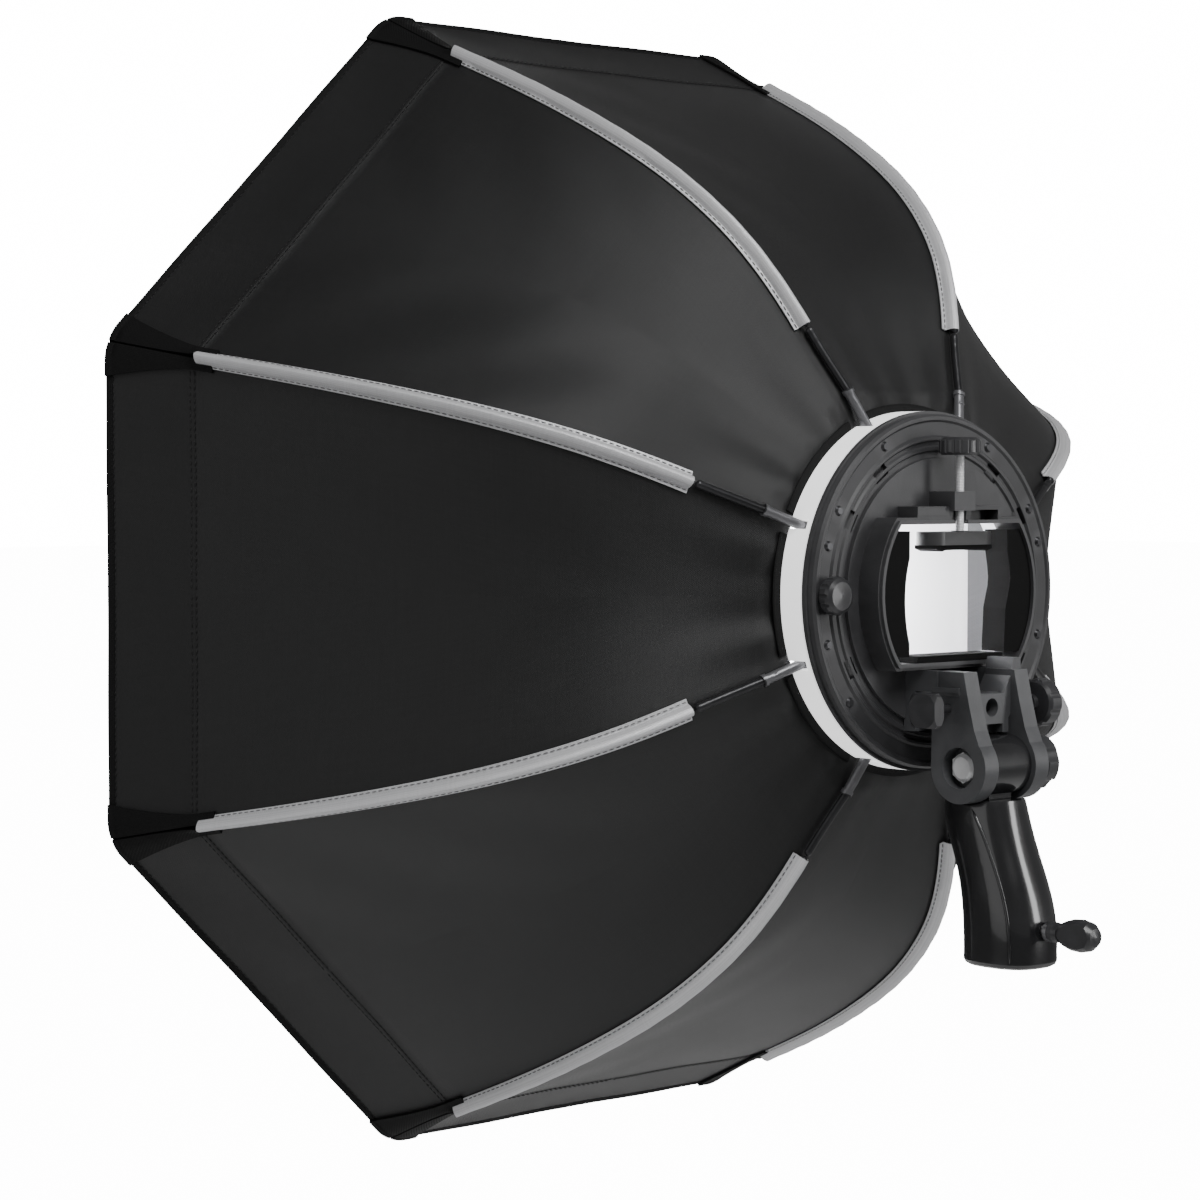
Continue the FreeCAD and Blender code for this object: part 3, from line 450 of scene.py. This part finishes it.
for node_name, mat in CAD_MATS.items():
    node = NODES[node_name]
    if not node.material_slots:
        node.data.materials.append(mat)
    for mat_slot in node.material_slots:
        mat_slot.material = mat


def rib_material():
    """Zinc-grey lug next to the drum, dark rod from there on."""
    lug_radius = 0.0992      # metres from the optical axis
    mat = hard_material("rib_metal", (0.03, 0.03, 0.032), rough=0.34, grain=0.08, metallic=0.55,
                        wear=0.2)
    nt = mat.node_tree
    colour_input = nt.nodes["Principled BSDF"].inputs["Base Color"]
    rod_colour = colour_input.links[0].from_socket
    place = nt.nodes.new("ShaderNodeTexCoord").outputs["Object"]
    axes = nt.nodes.new("ShaderNodeSeparateXYZ")
    nt.links.new(place, axes.inputs[0])
    x = axes.outputs[0]
    z = math_node(nt, "SUBTRACT", axes.outputs[2], AXIS_Z / 1000)
    square = math_node(nt, "ADD", math_node(nt, "MULTIPLY", x, x),
                       math_node(nt, "MULTIPLY", z, z))
    near = math_node(nt, "LESS_THAN", math_node(nt, "SQRT", square), lug_radius)
    nt.links.new(mix_colour(nt, near, rod_colour, (0.17, 0.17, 0.178, 1)), colour_input)
    return mat


M_RIB = rib_material()
for number in RIB_NUMBERS:
    for mat_slot in NODES["rib_%d" % number].material_slots:
        mat_slot.material = M_RIB

# ------------------------------------------------------------------ cloth lines, mm
CLOTH_OFFSET = 2.7       # the cloth's outer face, inward of the rib's centre line
CLOTH_THICK = 0.7
BODY_ROWS = 56
SKIPPED = 6              # points of the rib line left out at the drum end
SAG = 7.0                # deepest sag between the ribs
BODY_ROUND, HEM_ROUND = 7.0, 25.0    # rounding radius over the rib
CLOTH_COLUMNS = np.linspace(0, 1, 26) ** 1.15    # rib 0, middle of the panel 1

rib_curve = spline(RIB_POINTS, 121)
rib_normals = inward(rib_curve)
body_line = (rib_curve + rib_normals * CLOTH_OFFSET)[SKIPPED:]
body_arc = arc_length(body_line)
even_arc = np.linspace(0, body_arc[-1], BODY_ROWS)
body_line = np.c_[np.interp(even_arc, body_arc, body_line[:, 0]),
                  np.interp(even_arc, body_arc, body_line[:, 1])]
seam = body_line[-1]
# Band rows from seam 0 to hem 1; close together at both so that their folds get an edge
band_t = np.unique(np.r_[np.linspace(0, 1, 14)[:-1], 0.015, 0.03, 0.05, 0.925, 0.94, 0.985, 1.0])
band_line = np.array([seam + (FRONT_CORNER - seam) * t for t in band_t])
cloth_line = np.vstack([CLOTH_START, body_line, band_line[1:]])
cloth_arc = arc_length(cloth_line)
SEAM_ROW = len(body_line)
ROW_COUNT = len(cloth_line)


def half_grid(columns, reach=None):
    """Half a gore in the rib frame: rows along the rib, columns from it to the panel's middle.

    With a reach (mm, one per row) the columns stop at that distance from the rib.
    Returns the grid and its inward normals.
    """
    grid = np.zeros((ROW_COUNT, len(columns), 3))
    normals = np.zeros_like(grid)
    panel_normals = inward(cloth_line * np.array([C22, 1.0]))
    along = cloth_arc / cloth_arc[SEAM_ROW]      # drum 0, seam 1
    depth = SAG * np.clip(np.sin(np.pi * np.clip(along, 0, 1)), 0, 1) ** 0.8
    depth += 1.6 * np.exp(-((along - 1.1) / 0.09) ** 2)      # slight sag of the band
    depth[-1] = 0.5
    for i, (radius, u) in enumerate(cloth_line):
        half_width = radius * S22
        across = columns
        if reach is not None:
            across = np.clip(columns * reach[i] / half_width, 0, 1)
        dist = across * half_width
        grid[i, :, 0] = radius - dist * S22
        grid[i, :, 1] = u
        grid[i, :, 2] = dist * C22
        radial, axial = panel_normals[i]
        normals[i] = (radial * C22, axial, radial * S22)
        # tension ripples: strong at the ring, faint over the rest
        inner = np.sin(np.pi * across)
        ring_ripple = 0.9 * math.exp(-(along[i] / 0.16) ** 2) * np.sin(across * 9.0 + 0.6) * inner
        faint_ripple = (0.35 * np.sin(across * 6.0 + along[i] * 23.0) * inner
                        * min(1, along[i] * 2))
        sag = depth[i] * np.sin(np.pi / 2 * across) ** 1.3 + ring_ripple + faint_ripple
        grid[i] += normals[i] * sag[:, None]
        # softly rounded over the rib, wider towards the hem
        band_share = max(0, i - SEAM_ROW) / (ROW_COUNT - 1 - SEAM_ROW)
        rounding = BODY_ROUND + (HEM_ROUND - BODY_ROUND) * band_share
        rounded = rounding * math.tan(math.radians(HALF_GORE))
        grid[i, :, 0] -= np.where(dist < rounded, (rounded - dist) ** 2 / (2 * rounding), 0.0)
    return grid, normals


def cloth_uv(grid):
    u = grid[:, :, 2] / C22 / 1000.0
    v = np.repeat(cloth_arc[:, None], grid.shape[1], 1) / 1000.0
    return np.stack([u, v], -1)


def fold_height(t):
    """How far the cloth stands out at a band row: sunk seam, fold beside it, raised hem."""
    if t <= 0.01:
        return -0.25
    if t < 0.04:
        return 0.1
    return 0.5 if t > 0.93 else 0.0


def bend(obj, number, half):
    """Bakes the object's transform into its mesh."""
    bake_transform(obj)


# ------------------------------------------------------------------ cloth
fold = np.zeros(ROW_COUNT)
fold[SEAM_ROW:] = [fold_height(t) for t in band_t]
raised = np.maximum(fold, 0)
cloth_outer, cloth_normals = half_grid(CLOTH_COLUMNS)
cloth_outer = cloth_outer - cloth_normals * fold[:, None, None]
cloth_inner = cloth_outer + cloth_normals * (CLOTH_THICK + raised)[:, None, None]
outer_uv = cloth_uv(cloth_outer)

CLOTH_MATS = [M_BLACK, M_SILVER, M_BAND, M_TAPE]
row_mats = [0] * SEAM_ROW + [3 if t >= 0.925 else 2 for t in band_t[:-1]]
for number, angle in zip(RIB_NUMBERS, RIB_ANGLES):
    for half, side in SIDES:
        obj = shell("cloth_%d_%s" % (number, half), grid_to_world(cloth_outer, angle, side),
                    grid_to_world(cloth_inner, angle, side), CLOTH_MATS, outer_uv,
                    row_mats=row_mats, bottom_mat=1)
        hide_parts("gore_%d_%s" % (number, half))
        bend(obj, number, half)

# ------------------------------------------------------------------ rib sleeves, mm
TUNNEL_HALF = 2.85       # half width of the tunnel around the rib
TUNNEL_HEIGHT = 4.55
SLEEVE_EDGE = -1.75      # level of the flat edges, outward from the rib's centre line
SLEEVE_THICK = 0.55
SIDE_DROP = 0.414        # how the level falls sideways, where the normal is radial
SLEEVE_ROWS = range(21, 120, 2)      # points of the rib curve
even_columns = np.linspace(-1, 1, 33)
SLEEVE_COLUMNS = np.sin(even_columns * math.pi / 2) * 0.35 + even_columns * 0.65


def sleeve_half_width(along):
    """Tapers from the drum end (0) to the rib's tip (1)."""
    return 3.7 + 1.5 * (1 - along)


def tunnel_level(tangent):
    """Height of the sleeve above the rib's centre line."""
    x = min(abs(tangent) / TUNNEL_HALF, 1.0)
    return SLEEVE_EDGE + TUNNEL_HEIGHT * math.sqrt(1 - x * x) ** 0.9


def sleeve_point(row, tangent, level):
    """Radius and u at a level above the rib, lowered to the side with the panels."""
    normal = rib_normals[row]
    return rib_curve[row] - normal * (level - SIDE_DROP * abs(tangent) * abs(normal[0]))


def sleeve_grids():
    """Outer and inner grids in the rib frame, and the UVs."""
    shape = (len(SLEEVE_ROWS), len(SLEEVE_COLUMNS))
    outer, inner, uvs = np.zeros(shape + (3,)), np.zeros(shape + (3,)), np.zeros(shape + (2,))
    arc = arc_length(rib_curve[SLEEVE_ROWS])
    for i, row in enumerate(SLEEVE_ROWS):
        half_width = sleeve_half_width(i / (len(SLEEVE_ROWS) - 1))
        for j, column in enumerate(SLEEVE_COLUMNS):
            tangent = column * half_width
            wrinkle = 0.12 * math.sin(arc[i] * 0.35 + 1.7 * column) * (1 - abs(column))
            level = tunnel_level(tangent) + wrinkle
            outer[i, j] = (*sleeve_point(row, tangent, level), tangent)
            inner[i, j] = (*sleeve_point(row, tangent, level - SLEEVE_THICK), tangent * 0.985)
            uvs[i, j] = (tangent / 1000.0, arc[i] / 1000.0)
    return outer, inner, uvs


sleeve_outer, sleeve_inner, sleeve_uv = sleeve_grids()
for number, angle in zip(RIB_NUMBERS, RIB_ANGLES):
    obj = shell("sleeve_%d" % number, grid_to_world(sleeve_outer, angle),
                grid_to_world(sleeve_inner, angle), [M_SLEEVE], sleeve_uv)
    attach(obj, "rib_%d" % number)
    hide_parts("rib_sleeve_%d" % number)

# ------------------------------------------------------------------ corner pockets, mm
POCKET_COLUMNS = np.linspace(0, 1, 9)
POCKET_ROWS = slice(SEAM_ROW - 2, ROW_COUNT)
POCKET_REACH, HEM_EXTRA = 5.5, 11.0      # half width at the seam, and what the hem adds


def pocket_grids():
    """Outer and inner grids in the rib frame, and the UVs."""
    reach = np.full(ROW_COUNT, POCKET_REACH)
    reach[SEAM_ROW:] += HEM_EXTRA * band_t ** 1.4
    grid, normals = half_grid(POCKET_COLUMNS, reach)
    outer = (grid - normals * (1.5 + raised * 0.6)[:, None, None])[POCKET_ROWS]
    inner = (grid - normals * 0.25)[POCKET_ROWS]
    # the rib tip makes a bulge inside the pocket
    along = np.arange(len(outer)) / (len(outer) - 1)
    bulge = 1.9 * np.outer(np.exp(-((along - 0.12) / 0.22) ** 2),
                           np.exp(-(POCKET_COLUMNS / 0.35) ** 2))
    outer = outer - normals[POCKET_ROWS] * bulge[:, :, None]
    return outer, inner, cloth_uv(grid)[POCKET_ROWS]


pocket_outer, pocket_inner, pocket_uv = pocket_grids()
for number, angle in zip(RIB_NUMBERS, RIB_ANGLES):
    for half, side in SIDES:
        obj = shell("pocket_%d_%s" % (number, half), grid_to_world(pocket_outer, angle, side),
                    grid_to_world(pocket_inner, angle, side), [M_TAPE], pocket_uv)
        bend(obj, number, half)

# ------------------------------------------------------------------ stitching, mm
STITCH_PITCH, STITCH_LENGTH = 3.1, 2.1
STITCH_WIDTH, STITCH_HEIGHT = 0.42, 0.30
STITCH_SINK = 0.1
# Rows along each half gore: place on the band (seam 0, hem 1), lift off the cloth
STITCH_ROWS = ((0.0, 0.30), (0.05, 0.05), (0.915, 0.1))


def stitches(path, normals, mat):
    """A row of short faceted bars lying on the cloth along a polyline in metres."""
    path = path * 1000.0
    arc = arc_length(path)

    def sample(values, distance):
        return np.array([np.interp(distance, arc, values[:, a]) for a in range(3)])

    verts, faces, uvs = [], [], []
    for i in range(int(arc[-1] // STITCH_PITCH)):
        middle = (i + 0.5) * STITCH_PITCH
        faces += loft_faces(4, 4, first=len(verts))
        # four sections: share of the length from the middle, width and height factors
        for offset, wide, high in ((-1 / 2, 0.7, 0.35), (-1 / 6, 1.0, 1.0),
                                   (1 / 6, 1.0, 1.0), (1 / 2, 0.7, 0.35)):
            distance = middle + offset * STITCH_LENGTH
            point = sample(path, distance)
            up = sample(normals, distance)
            up /= np.linalg.norm(up)
            ahead = sample(path, distance + 0.3) - sample(path, distance - 0.3)
            ahead /= np.linalg.norm(ahead) + 1e-9
            out = np.cross(ahead, up) * (STITCH_WIDTH / 2 * wide)
            top = up * (STITCH_HEIGHT * high)
            sink = up * STITCH_SINK
            verts += [(point + out - sink) / 1000, (point + out * 0.5 + top) / 1000,
                      (point - out * 0.5 + top) / 1000, (point - out - sink) / 1000]
            uvs += [(middle / 1000.0, 0.0)] * 4
    return mesh_object("stitch", verts, faces, [mat], uvs)


def join(name, parts):
    """Joins plain meshes that carry the same material."""
    bm = bmesh.new()
    for part in parts:
        bm.from_mesh(part.data)
    me = bpy.data.meshes.new(name)
    bm.to_mesh(me)
    bm.free()
    for mat in parts[0].data.materials:
        me.materials.append(mat)
    me.polygons.foreach_set("use_smooth", [True] * len(me.polygons))
    joined = bpy.data.objects.new(name, me)
    bpy.context.scene.collection.objects.link(joined)
    for part in parts:
        bpy.data.objects.remove(part)
    return joined


def gore_stitching(number, angle, half, side):
    """Two thread rows at the band's seam and one at the hem."""
    points = grid_to_world(cloth_outer, angle, side)
    outward = -direction(angle, cloth_normals[:, :, 0], cloth_normals[:, :, 1],
                         side * cloth_normals[:, :, 2])
    rows = []
    for place, lift in STITCH_ROWS:
        row = SEAM_ROW + int(np.argmin(abs(band_t - place)))
        up = outward[row, 2:]
        rows.append(stitches(points[row, 2:] + up * lift / 1000, up, M_THREAD))
    obj = join("stitching_%d_%s" % (number, half), rows)
    bend(obj, number, half)


def sleeve_stitching(number, angle):
    """A thread row on each side of the rib, midway between the tunnel and the sleeve's edge."""
    level = SLEEVE_EDGE + 0.35
    rows = []
    for side in (1, -1):
        path, normals = [], []
        for i, row in enumerate(SLEEVE_ROWS):
            half_width = sleeve_half_width(i / (len(SLEEVE_ROWS) - 1))
            tangent = side * (half_width + TUNNEL_HALF) / 2
            path.append(world(angle, *sleeve_point(row, tangent, level), tangent))
            normals.append(direction(angle, *-rib_normals[row], 0.0))
        rows.append(stitches(np.array(path), np.array(normals), M_GREY_THREAD))
    obj = join("sleeve_stitching_%d" % number, rows)
    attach(obj, "rib_%d" % number)


for number, angle in zip(RIB_NUMBERS, RIB_ANGLES):
    for half, side in SIDES:
        gore_stitching(number, angle, half, side)
    sleeve_stitching(number, angle)


# ------------------------------------------------------------------ binding at the drum
def ring_binding():
    """Flat tape arcs around the drum, one between each two ribs, with a softened outer edge."""
    inner, outer = 74.0, 85.6
    front, rear = -16.9, -15.75
    # section: radius, u
    section = [(inner, front), (inner, rear), (outer - 0.5, rear),
               (outer, rear - 0.4), (outer, front + 0.4), (outer - 0.5, front)]
    steps = 18
    half_gap = math.degrees(5.0 / 82.0)      # 5 mm each side of a rib, at a radius of 82
    verts, faces, uvs = [], [], []
    for angle in RIB_ANGLES:
        faces += loft_faces(steps, len(section), first=len(verts))
        start, end = angle + half_gap, angle + 45 - half_gap
        for i in range(steps):
            turn = math.radians(start + (end - start) * i / (steps - 1))
            for radius, u in section:
                verts.append(world(0, radius * math.cos(turn), u, radius * math.sin(turn)))
                uvs.append((radius * turn / 1000, radius / 1000 + u / 1000))
    obj = mesh_object("ring_binding", verts, faces, [M_TAPE], uvs)
    sharpen(obj, 40)
    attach(obj, "speedring")


ring_binding()


# ------------------------------------------------------------------ threaded clamp rod
def clamp_rod():
    """Upright threaded rod with a round head at its lower end, in mm."""
    seg = 28
    pitch = 0.7
    core, crest = 1.72, 0.28         # core radius and thread height
    head_length = 1.5
    tip = 0.02                       # radius of the rings that close the ends
    uv_per_radian = 0.0126 / 6.28    # metres
    (x0, y0, z0), (x1, y1, z1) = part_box("clamp_rod")
    centre_x, centre_y = (x0 + x1) / 2 * 1000, (y0 + y1) / 2 * 1000
    z_low, z_high = min(z0, z1) * 1000, max(z0, z1) * 1000
    verts, uvs = [], []

    def ring(z, radius_at):
        for i in range(seg):
            a = 2 * math.pi * i / seg
            r = radius_at(a)
            verts.append(((centre_x + r * math.cos(a)) / 1000,
                          (centre_y + r * math.sin(a)) / 1000, z / 1000))
            uvs.append((a * uv_per_radian, z / 1000))

    def plain_ring(z, radius):
        ring(z, lambda a: radius)

    def thread_radius(z, a):
        phase = ((z / pitch) - a / (2 * math.pi)) % 1.0
        triangle = 1 - abs(2 * phase - 1)
        return core + crest * min(1.0, triangle * 1.35)

    # head: height above the lower end, radius
    for height, radius in ((0, tip), (0, 2.9), (0.1, 3.0), (head_length - 0.1, 3.0),
                           (head_length, 2.9), (head_length, 1.8)):
        plain_ring(z_low + height, radius)
    z = z_low + head_length + 0.1
    while z < z_high - 0.3:
        ring(z, lambda a: thread_radius(z, a))
        z += pitch / 6
    plain_ring(z_high - 0.2, 1.9)
    plain_ring(z_high, 1.5)
    plain_ring(z_high, tip)
    faces = loft_faces(len(verts) // seg, seg)
    obj = mesh_object("clamp_rod_thread", verts, faces, [M_BRIGHT], uvs)
    sharpen(obj, 55)
    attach(obj, "clamp_screw")
    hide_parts("clamp_rod")


clamp_rod()

# ------------------------------------------------------------------ grip beads and ribs
BEAD_X = 14.0            # plane of the bead's outline, mm
# Outline of the bead, mm: y, z
BEAD_POINTS = [(-10.1, 69.3), (-5.5, 61.8), (1.6, 47.7), (6.7, 35.5), (10.6, 21.3), (12.0, 2.9)]
BEAD_RADIUS, GRIP_RIB_RADIUS = 0.00085, 0.00062      # metres
GRIP_RIBS = 11
GRIP_RIB_Z, GRIP_RIB_PITCH = 33.0, 2.5               # lowest rib and spacing, mm
GRIP_RIB_XS = np.linspace(-8.5, 8.5, 15)             # mm


def surface_of(node_name):
    source = NODES[node_name]
    matrix = source.matrix_world
    return BVHTree.FromPolygons([matrix @ v.co for v in source.data.vertices],
                                [tuple(p.vertices) for p in source.data.polygons])


def grip_bar(name, points, normals, radius, flat=1.0, seg=10):
    """A round bar sunk to half its height along surface points, tapered at both ends."""
    verts, uvs = [], []
    count = len(points)
    arc = 0.0
    for i in range(count):
        ahead = (points[min(i + 1, count - 1)] - points[max(i - 1, 0)]).normalized()
        up = normals[i].normalized()
        out = ahead.cross(up).normalized()
        taper = min(1.0, 0.25 + i / 3.0, 0.25 + (count - 1 - i) / 3.0)
        if i:
            arc += (points[i] - points[i - 1]).length
        for j in range(seg):
            a = 2 * math.pi * j / seg
            verts.append(points[i] + out * (radius * taper * math.cos(a))
                         + up * (radius * flat * taper * math.sin(a)))
            uvs.append((a * radius, arc))
    obj = mesh_object(name, verts, loft_faces(count, seg), [M_GRIP], uvs)
    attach(obj, "grip")


def grip_beads(left):
    """The bead's outline cast from the camera onto the left (+X) half, and its mirror image."""
    points, normals = [], []
    for y, z in spline(BEAD_POINTS, 40):
        target = Vector((BEAD_X / 1000, y / 1000, z / 1000))
        hit, normal, _, _ = left.ray_cast(CAMERA_POS, (target - CAMERA_POS).normalized())
        if hit is not None and normal.x > 0.2:
            points.append(hit)
            normals.append(normal)
    # guards against casts that mostly miss the grip's side
    if len(points) > 8:
        grip_bar("grip_bead_left", points, normals, BEAD_RADIUS)
        grip_bar("grip_bead_right", [Vector((-p.x, p.y, p.z)) for p in points],
                 [Vector((-n.x, n.y, n.z)) for n in normals], BEAD_RADIUS)


def grip_ribs(left, right):
    """Low ribs across the rear (+Y) of the grip."""
    for i in range(GRIP_RIBS):
        z = GRIP_RIB_Z + i * GRIP_RIB_PITCH
        points, normals = [], []
        for x in GRIP_RIB_XS:
            tree = left if x > 0.05 else right
            hit, normal, _, _ = tree.ray_cast(Vector((x / 1000, 0.2, z / 1000)),
                                              Vector((0, -1, 0)))
            if hit is not None:
                points.append(hit)
                normals.append(normal)
        # a rib is made only where the grip is met over its whole width
        if len(points) == len(GRIP_RIB_XS):
            grip_bar("grip_rib_%02d" % (i + 1), points, normals, GRIP_RIB_RADIUS,
                     flat=0.8, seg=8)


left_half = surface_of("grip_left")
right_half = surface_of("grip_right")
grip_beads(left_half)
grip_ribs(left_half, right_half)

# ------------------------------------------------------------------ diffusers, mm
BAFFLE_RADIUS = 150.0    # to a corner
HEM_FROM = 0.955         # the sheet is thicker from this share of the radius outwards
SHEET_POINTS = 96        # around the octagon


def middle_u(node_name):
    lo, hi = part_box(node_name)
    return (lo[1] + hi[1]) / 2 * 1000 - RING_Y


def octagon_sheet(name, node_name, radius, u_middle, shares, sag, ripple, half_thick, hem_factor):
    """Closed thin octagon; shares are its rings as parts of the corner radius."""
    verts, uvs, faces = [], [], []
    for sign in (-1, 1):
        for share in shares:
            thick = half_thick * (1.0 if share < HEM_FROM else hem_factor)
            for i in range(SHEET_POINTS):
                degrees = 360.0 * i / SHEET_POINTS + HALF_GORE
                turn = math.radians(degrees)
                off_middle = math.radians((degrees - HALF_GORE) % 45 - HALF_GORE)
                r = radius * C22 / math.cos(off_middle) * share
                x, z = r * math.cos(turn), r * math.sin(turn)
                u = u_middle + sag * (1 - share ** 2) + ripple * math.sin(8 * turn) * share ** 2
                verts.append(world(0, x, u + sign * thick, z))
                uvs.append((x / 1000, z / 1000))
    sheet_size = len(shares) * SHEET_POINTS
    for second in (0, 1):
        first = second * sheet_size
        for i in range(len(shares) - 1):
            for j in range(SHEET_POINTS):
                a = first + i * SHEET_POINTS + j
                b = first + i * SHEET_POINTS + (j + 1) % SHEET_POINTS
                quad = (a, b, b + SHEET_POINTS, a + SHEET_POINTS)
                faces.append(quad if second else quad[::-1])
        centre = tuple(range(first, first + SHEET_POINTS))
        faces.append(centre[::-1] if second else centre)
    edge = sheet_size - SHEET_POINTS
    for j in range(SHEET_POINTS):
        a, b = edge + j, edge + (j + 1) % SHEET_POINTS
        faces.append((a, b, sheet_size + b, sheet_size + a))
    obj = mesh_object(name, verts, faces, [M_WHITE], uvs)
    sharpen(obj, 60)
    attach(obj, node_name)
    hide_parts(node_name)


def baffle_straps(u_middle):
    """Eight straps from the baffle's corners out to the ribs."""
    rows, cols = 16, 5
    half_width = 4.2
    start, length = BAFFLE_RADIUS - 5, 61
    rear, front, uvs = (np.zeros((rows, cols, size)) for size in (3, 3, 2))
    for i in range(rows):
        radius = start + length * i / (rows - 1)
        wave = 0.15 * math.sin(i * 1.3)
        for j in range(cols):
            tangent = (j / 2 - 1) * half_width
            rear[i, j] = (radius, u_middle - 0.9 - wave, tangent)
            front[i, j] = (radius, u_middle - 1.9 - wave, tangent)
            uvs[i, j] = (tangent / 1000, radius / 1000)
    for number, angle in zip(RIB_NUMBERS, RIB_ANGLES):
        obj = shell("baffle_strap_%d" % number, grid_to_world(rear, angle),
                    grid_to_world(front, angle), [M_TAPE], uvs)
        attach(obj, "inner_baffle")


(front_x0, _, _), (front_x1, _, _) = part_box("front_diffuser")
octagon_sheet("diffuser_front", "front_diffuser",
              radius=(front_x1 - front_x0) / 2 * 1000 / C22,
              u_middle=middle_u("front_diffuser"),
              shares=np.r_[np.linspace(0.02, 0.93, 22), 0.945, HEM_FROM, 0.965, 0.985, 1.0],
              sag=-1.5, ripple=0.5, half_thick=0.5, hem_factor=2.1)
baffle_u = middle_u("inner_baffle")
octagon_sheet("baffle_inner", "inner_baffle", radius=BAFFLE_RADIUS, u_middle=baffle_u,
              shares=np.r_[np.linspace(0.03, 0.93, 14), 0.95, 0.965, 0.985, 1.0],
              sag=-1.0, ripple=0.0, half_thick=0.45, hem_factor=1.9)
baffle_straps(baffle_u)

# ------------------------------------------------------------------ studio, metres
BACKDROP = 16.0          # brightness that the camera sees behind the product
AMBIENT = 0.22           # light from the surroundings at the horizon
FLOOR_DROP = 0.75        # floor below the product
FLOOR_HALF = 40.0
CAMERA_BACK = Vector((0.66964, 0.74160, 0.04003))    # from the scene towards the camera
CENTRE = (0, -0.15, 0.165)
AXIS_M = AXIS_Z / 1000
# Area lights: name, location, target, size, power in watts
LIGHTS = (
    ("key", (0.42, 0.95, 1.40), CENTRE, (0.8, 0.8), 22),
    ("side", (-0.85, 1.25, 0.45), (0, 0.03, 0.1), (0.35, 1.1), 10),
    ("fill", (1.6, -0.3, 0.4), CENTRE, (1.2, 1.2), 3.2),
    ("front", (-0.5, -2.0, 0.7), (0, -0.3, 0.165), (1.4, 1.4), 34),
    ("inside", (0, (RING_Y - 20) / 1000, AXIS_M), (0, -1, AXIS_M), (0.07, 0.05), 1.2),
)


def area_light(name, location, target, size, power):
    light = bpy.data.lights.new(name, "AREA")
    light.shape = "RECTANGLE"
    light.size, light.size_y = size
    light.energy = power
    obj = bpy.data.objects.new(name, light)
    bpy.context.scene.collection.objects.link(obj)
    obj.location = location
    aim = Vector(target) - Vector(location)
    obj.rotation_euler = aim.to_track_quat("-Z", "Y").to_euler()


def camera_ray(nt):
    """Socket that is 1 for what the camera sees directly."""
    return nt.nodes.new("ShaderNodeLightPath").outputs["Is Camera Ray"]


def floor_material():
    """Near-white floor that the camera sees almost as bright as the backdrop."""
    mat, nt, bsdf = new_mat("floor")
    patches = add_node(nt, "ShaderNodeTexNoise", Scale=3.0, Detail=3.0).outputs[0]
    colour = ramp(nt, patches, low=(0.3, (0.86, 0.86, 0.86, 1)), high=(0.7, (0.90, 0.90, 0.90, 1)))
    nt.links.new(colour, bsdf.inputs["Base Color"])
    set_inputs(bsdf, {"Roughness": 0.8, "Specular IOR Level": 0.1,
                      "Emission Color": (1, 1, 1, 1)})
    glow = math_node(nt, "MULTIPLY", camera_ray(nt), BACKDROP * 0.9)
    nt.links.new(glow, bsdf.inputs["Emission Strength"])
    return mat


def add_floor():
    z = cad_box[0][2] - FLOOR_DROP
    half = FLOOR_HALF
    me = bpy.data.meshes.new("floor")
    me.from_pydata([(-half, -half, z), (half, -half, z), (half, half, z), (-half, half, z)],
                   [], [(0, 1, 2, 3)])
    floor = bpy.data.objects.new("floor", me)
    bpy.context.scene.collection.objects.link(floor)
    me.materials.append(floor_material())


def add_world():
    """Bright backdrop for the camera; dim light that fades away from the horizon otherwise."""
    studio = bpy.data.worlds.new("studio")
    bpy.context.scene.world = studio
    studio.use_nodes = True
    nt = studio.node_tree
    background = nt.nodes["Background"]
    background.inputs[0].default_value = (1, 1, 1, 1)
    ray = camera_ray(nt)
    place = nt.nodes.new("ShaderNodeTexCoord").outputs["Generated"]
    axes = nt.nodes.new("ShaderNodeSeparateXYZ")
    nt.links.new(place, axes.inputs[0])
    height = math_node(nt, "ABSOLUTE", axes.outputs[2])
    fade = math_node(nt, "SUBTRACT", 1.0, math_node(nt, "MULTIPLY", height, 0.80))
    ambient = math_node(nt, "MULTIPLY", fade, AMBIENT)
    extra = math_node(nt, "SUBTRACT", BACKDROP, ambient)
    strength = math_node(nt, "MULTIPLY_ADD", ray, extra, ambient)
    nt.links.new(strength, background.inputs[1])


def add_camera():
    camera = bpy.data.cameras.new("camera")
    obj = bpy.data.objects.new("camera", camera)
    bpy.context.scene.collection.objects.link(obj)
    camera.sensor_width = 36.0
    camera.lens = 92.51
    camera.clip_start = 0.01
    obj.location = CAMERA_POS
    obj.rotation_euler = CAMERA_BACK.normalized().to_track_quat("Z", "Y").to_euler()
    bpy.context.scene.camera = obj


add_floor()
add_world()
for light_row in LIGHTS:
    area_light(*light_row)
add_camera()
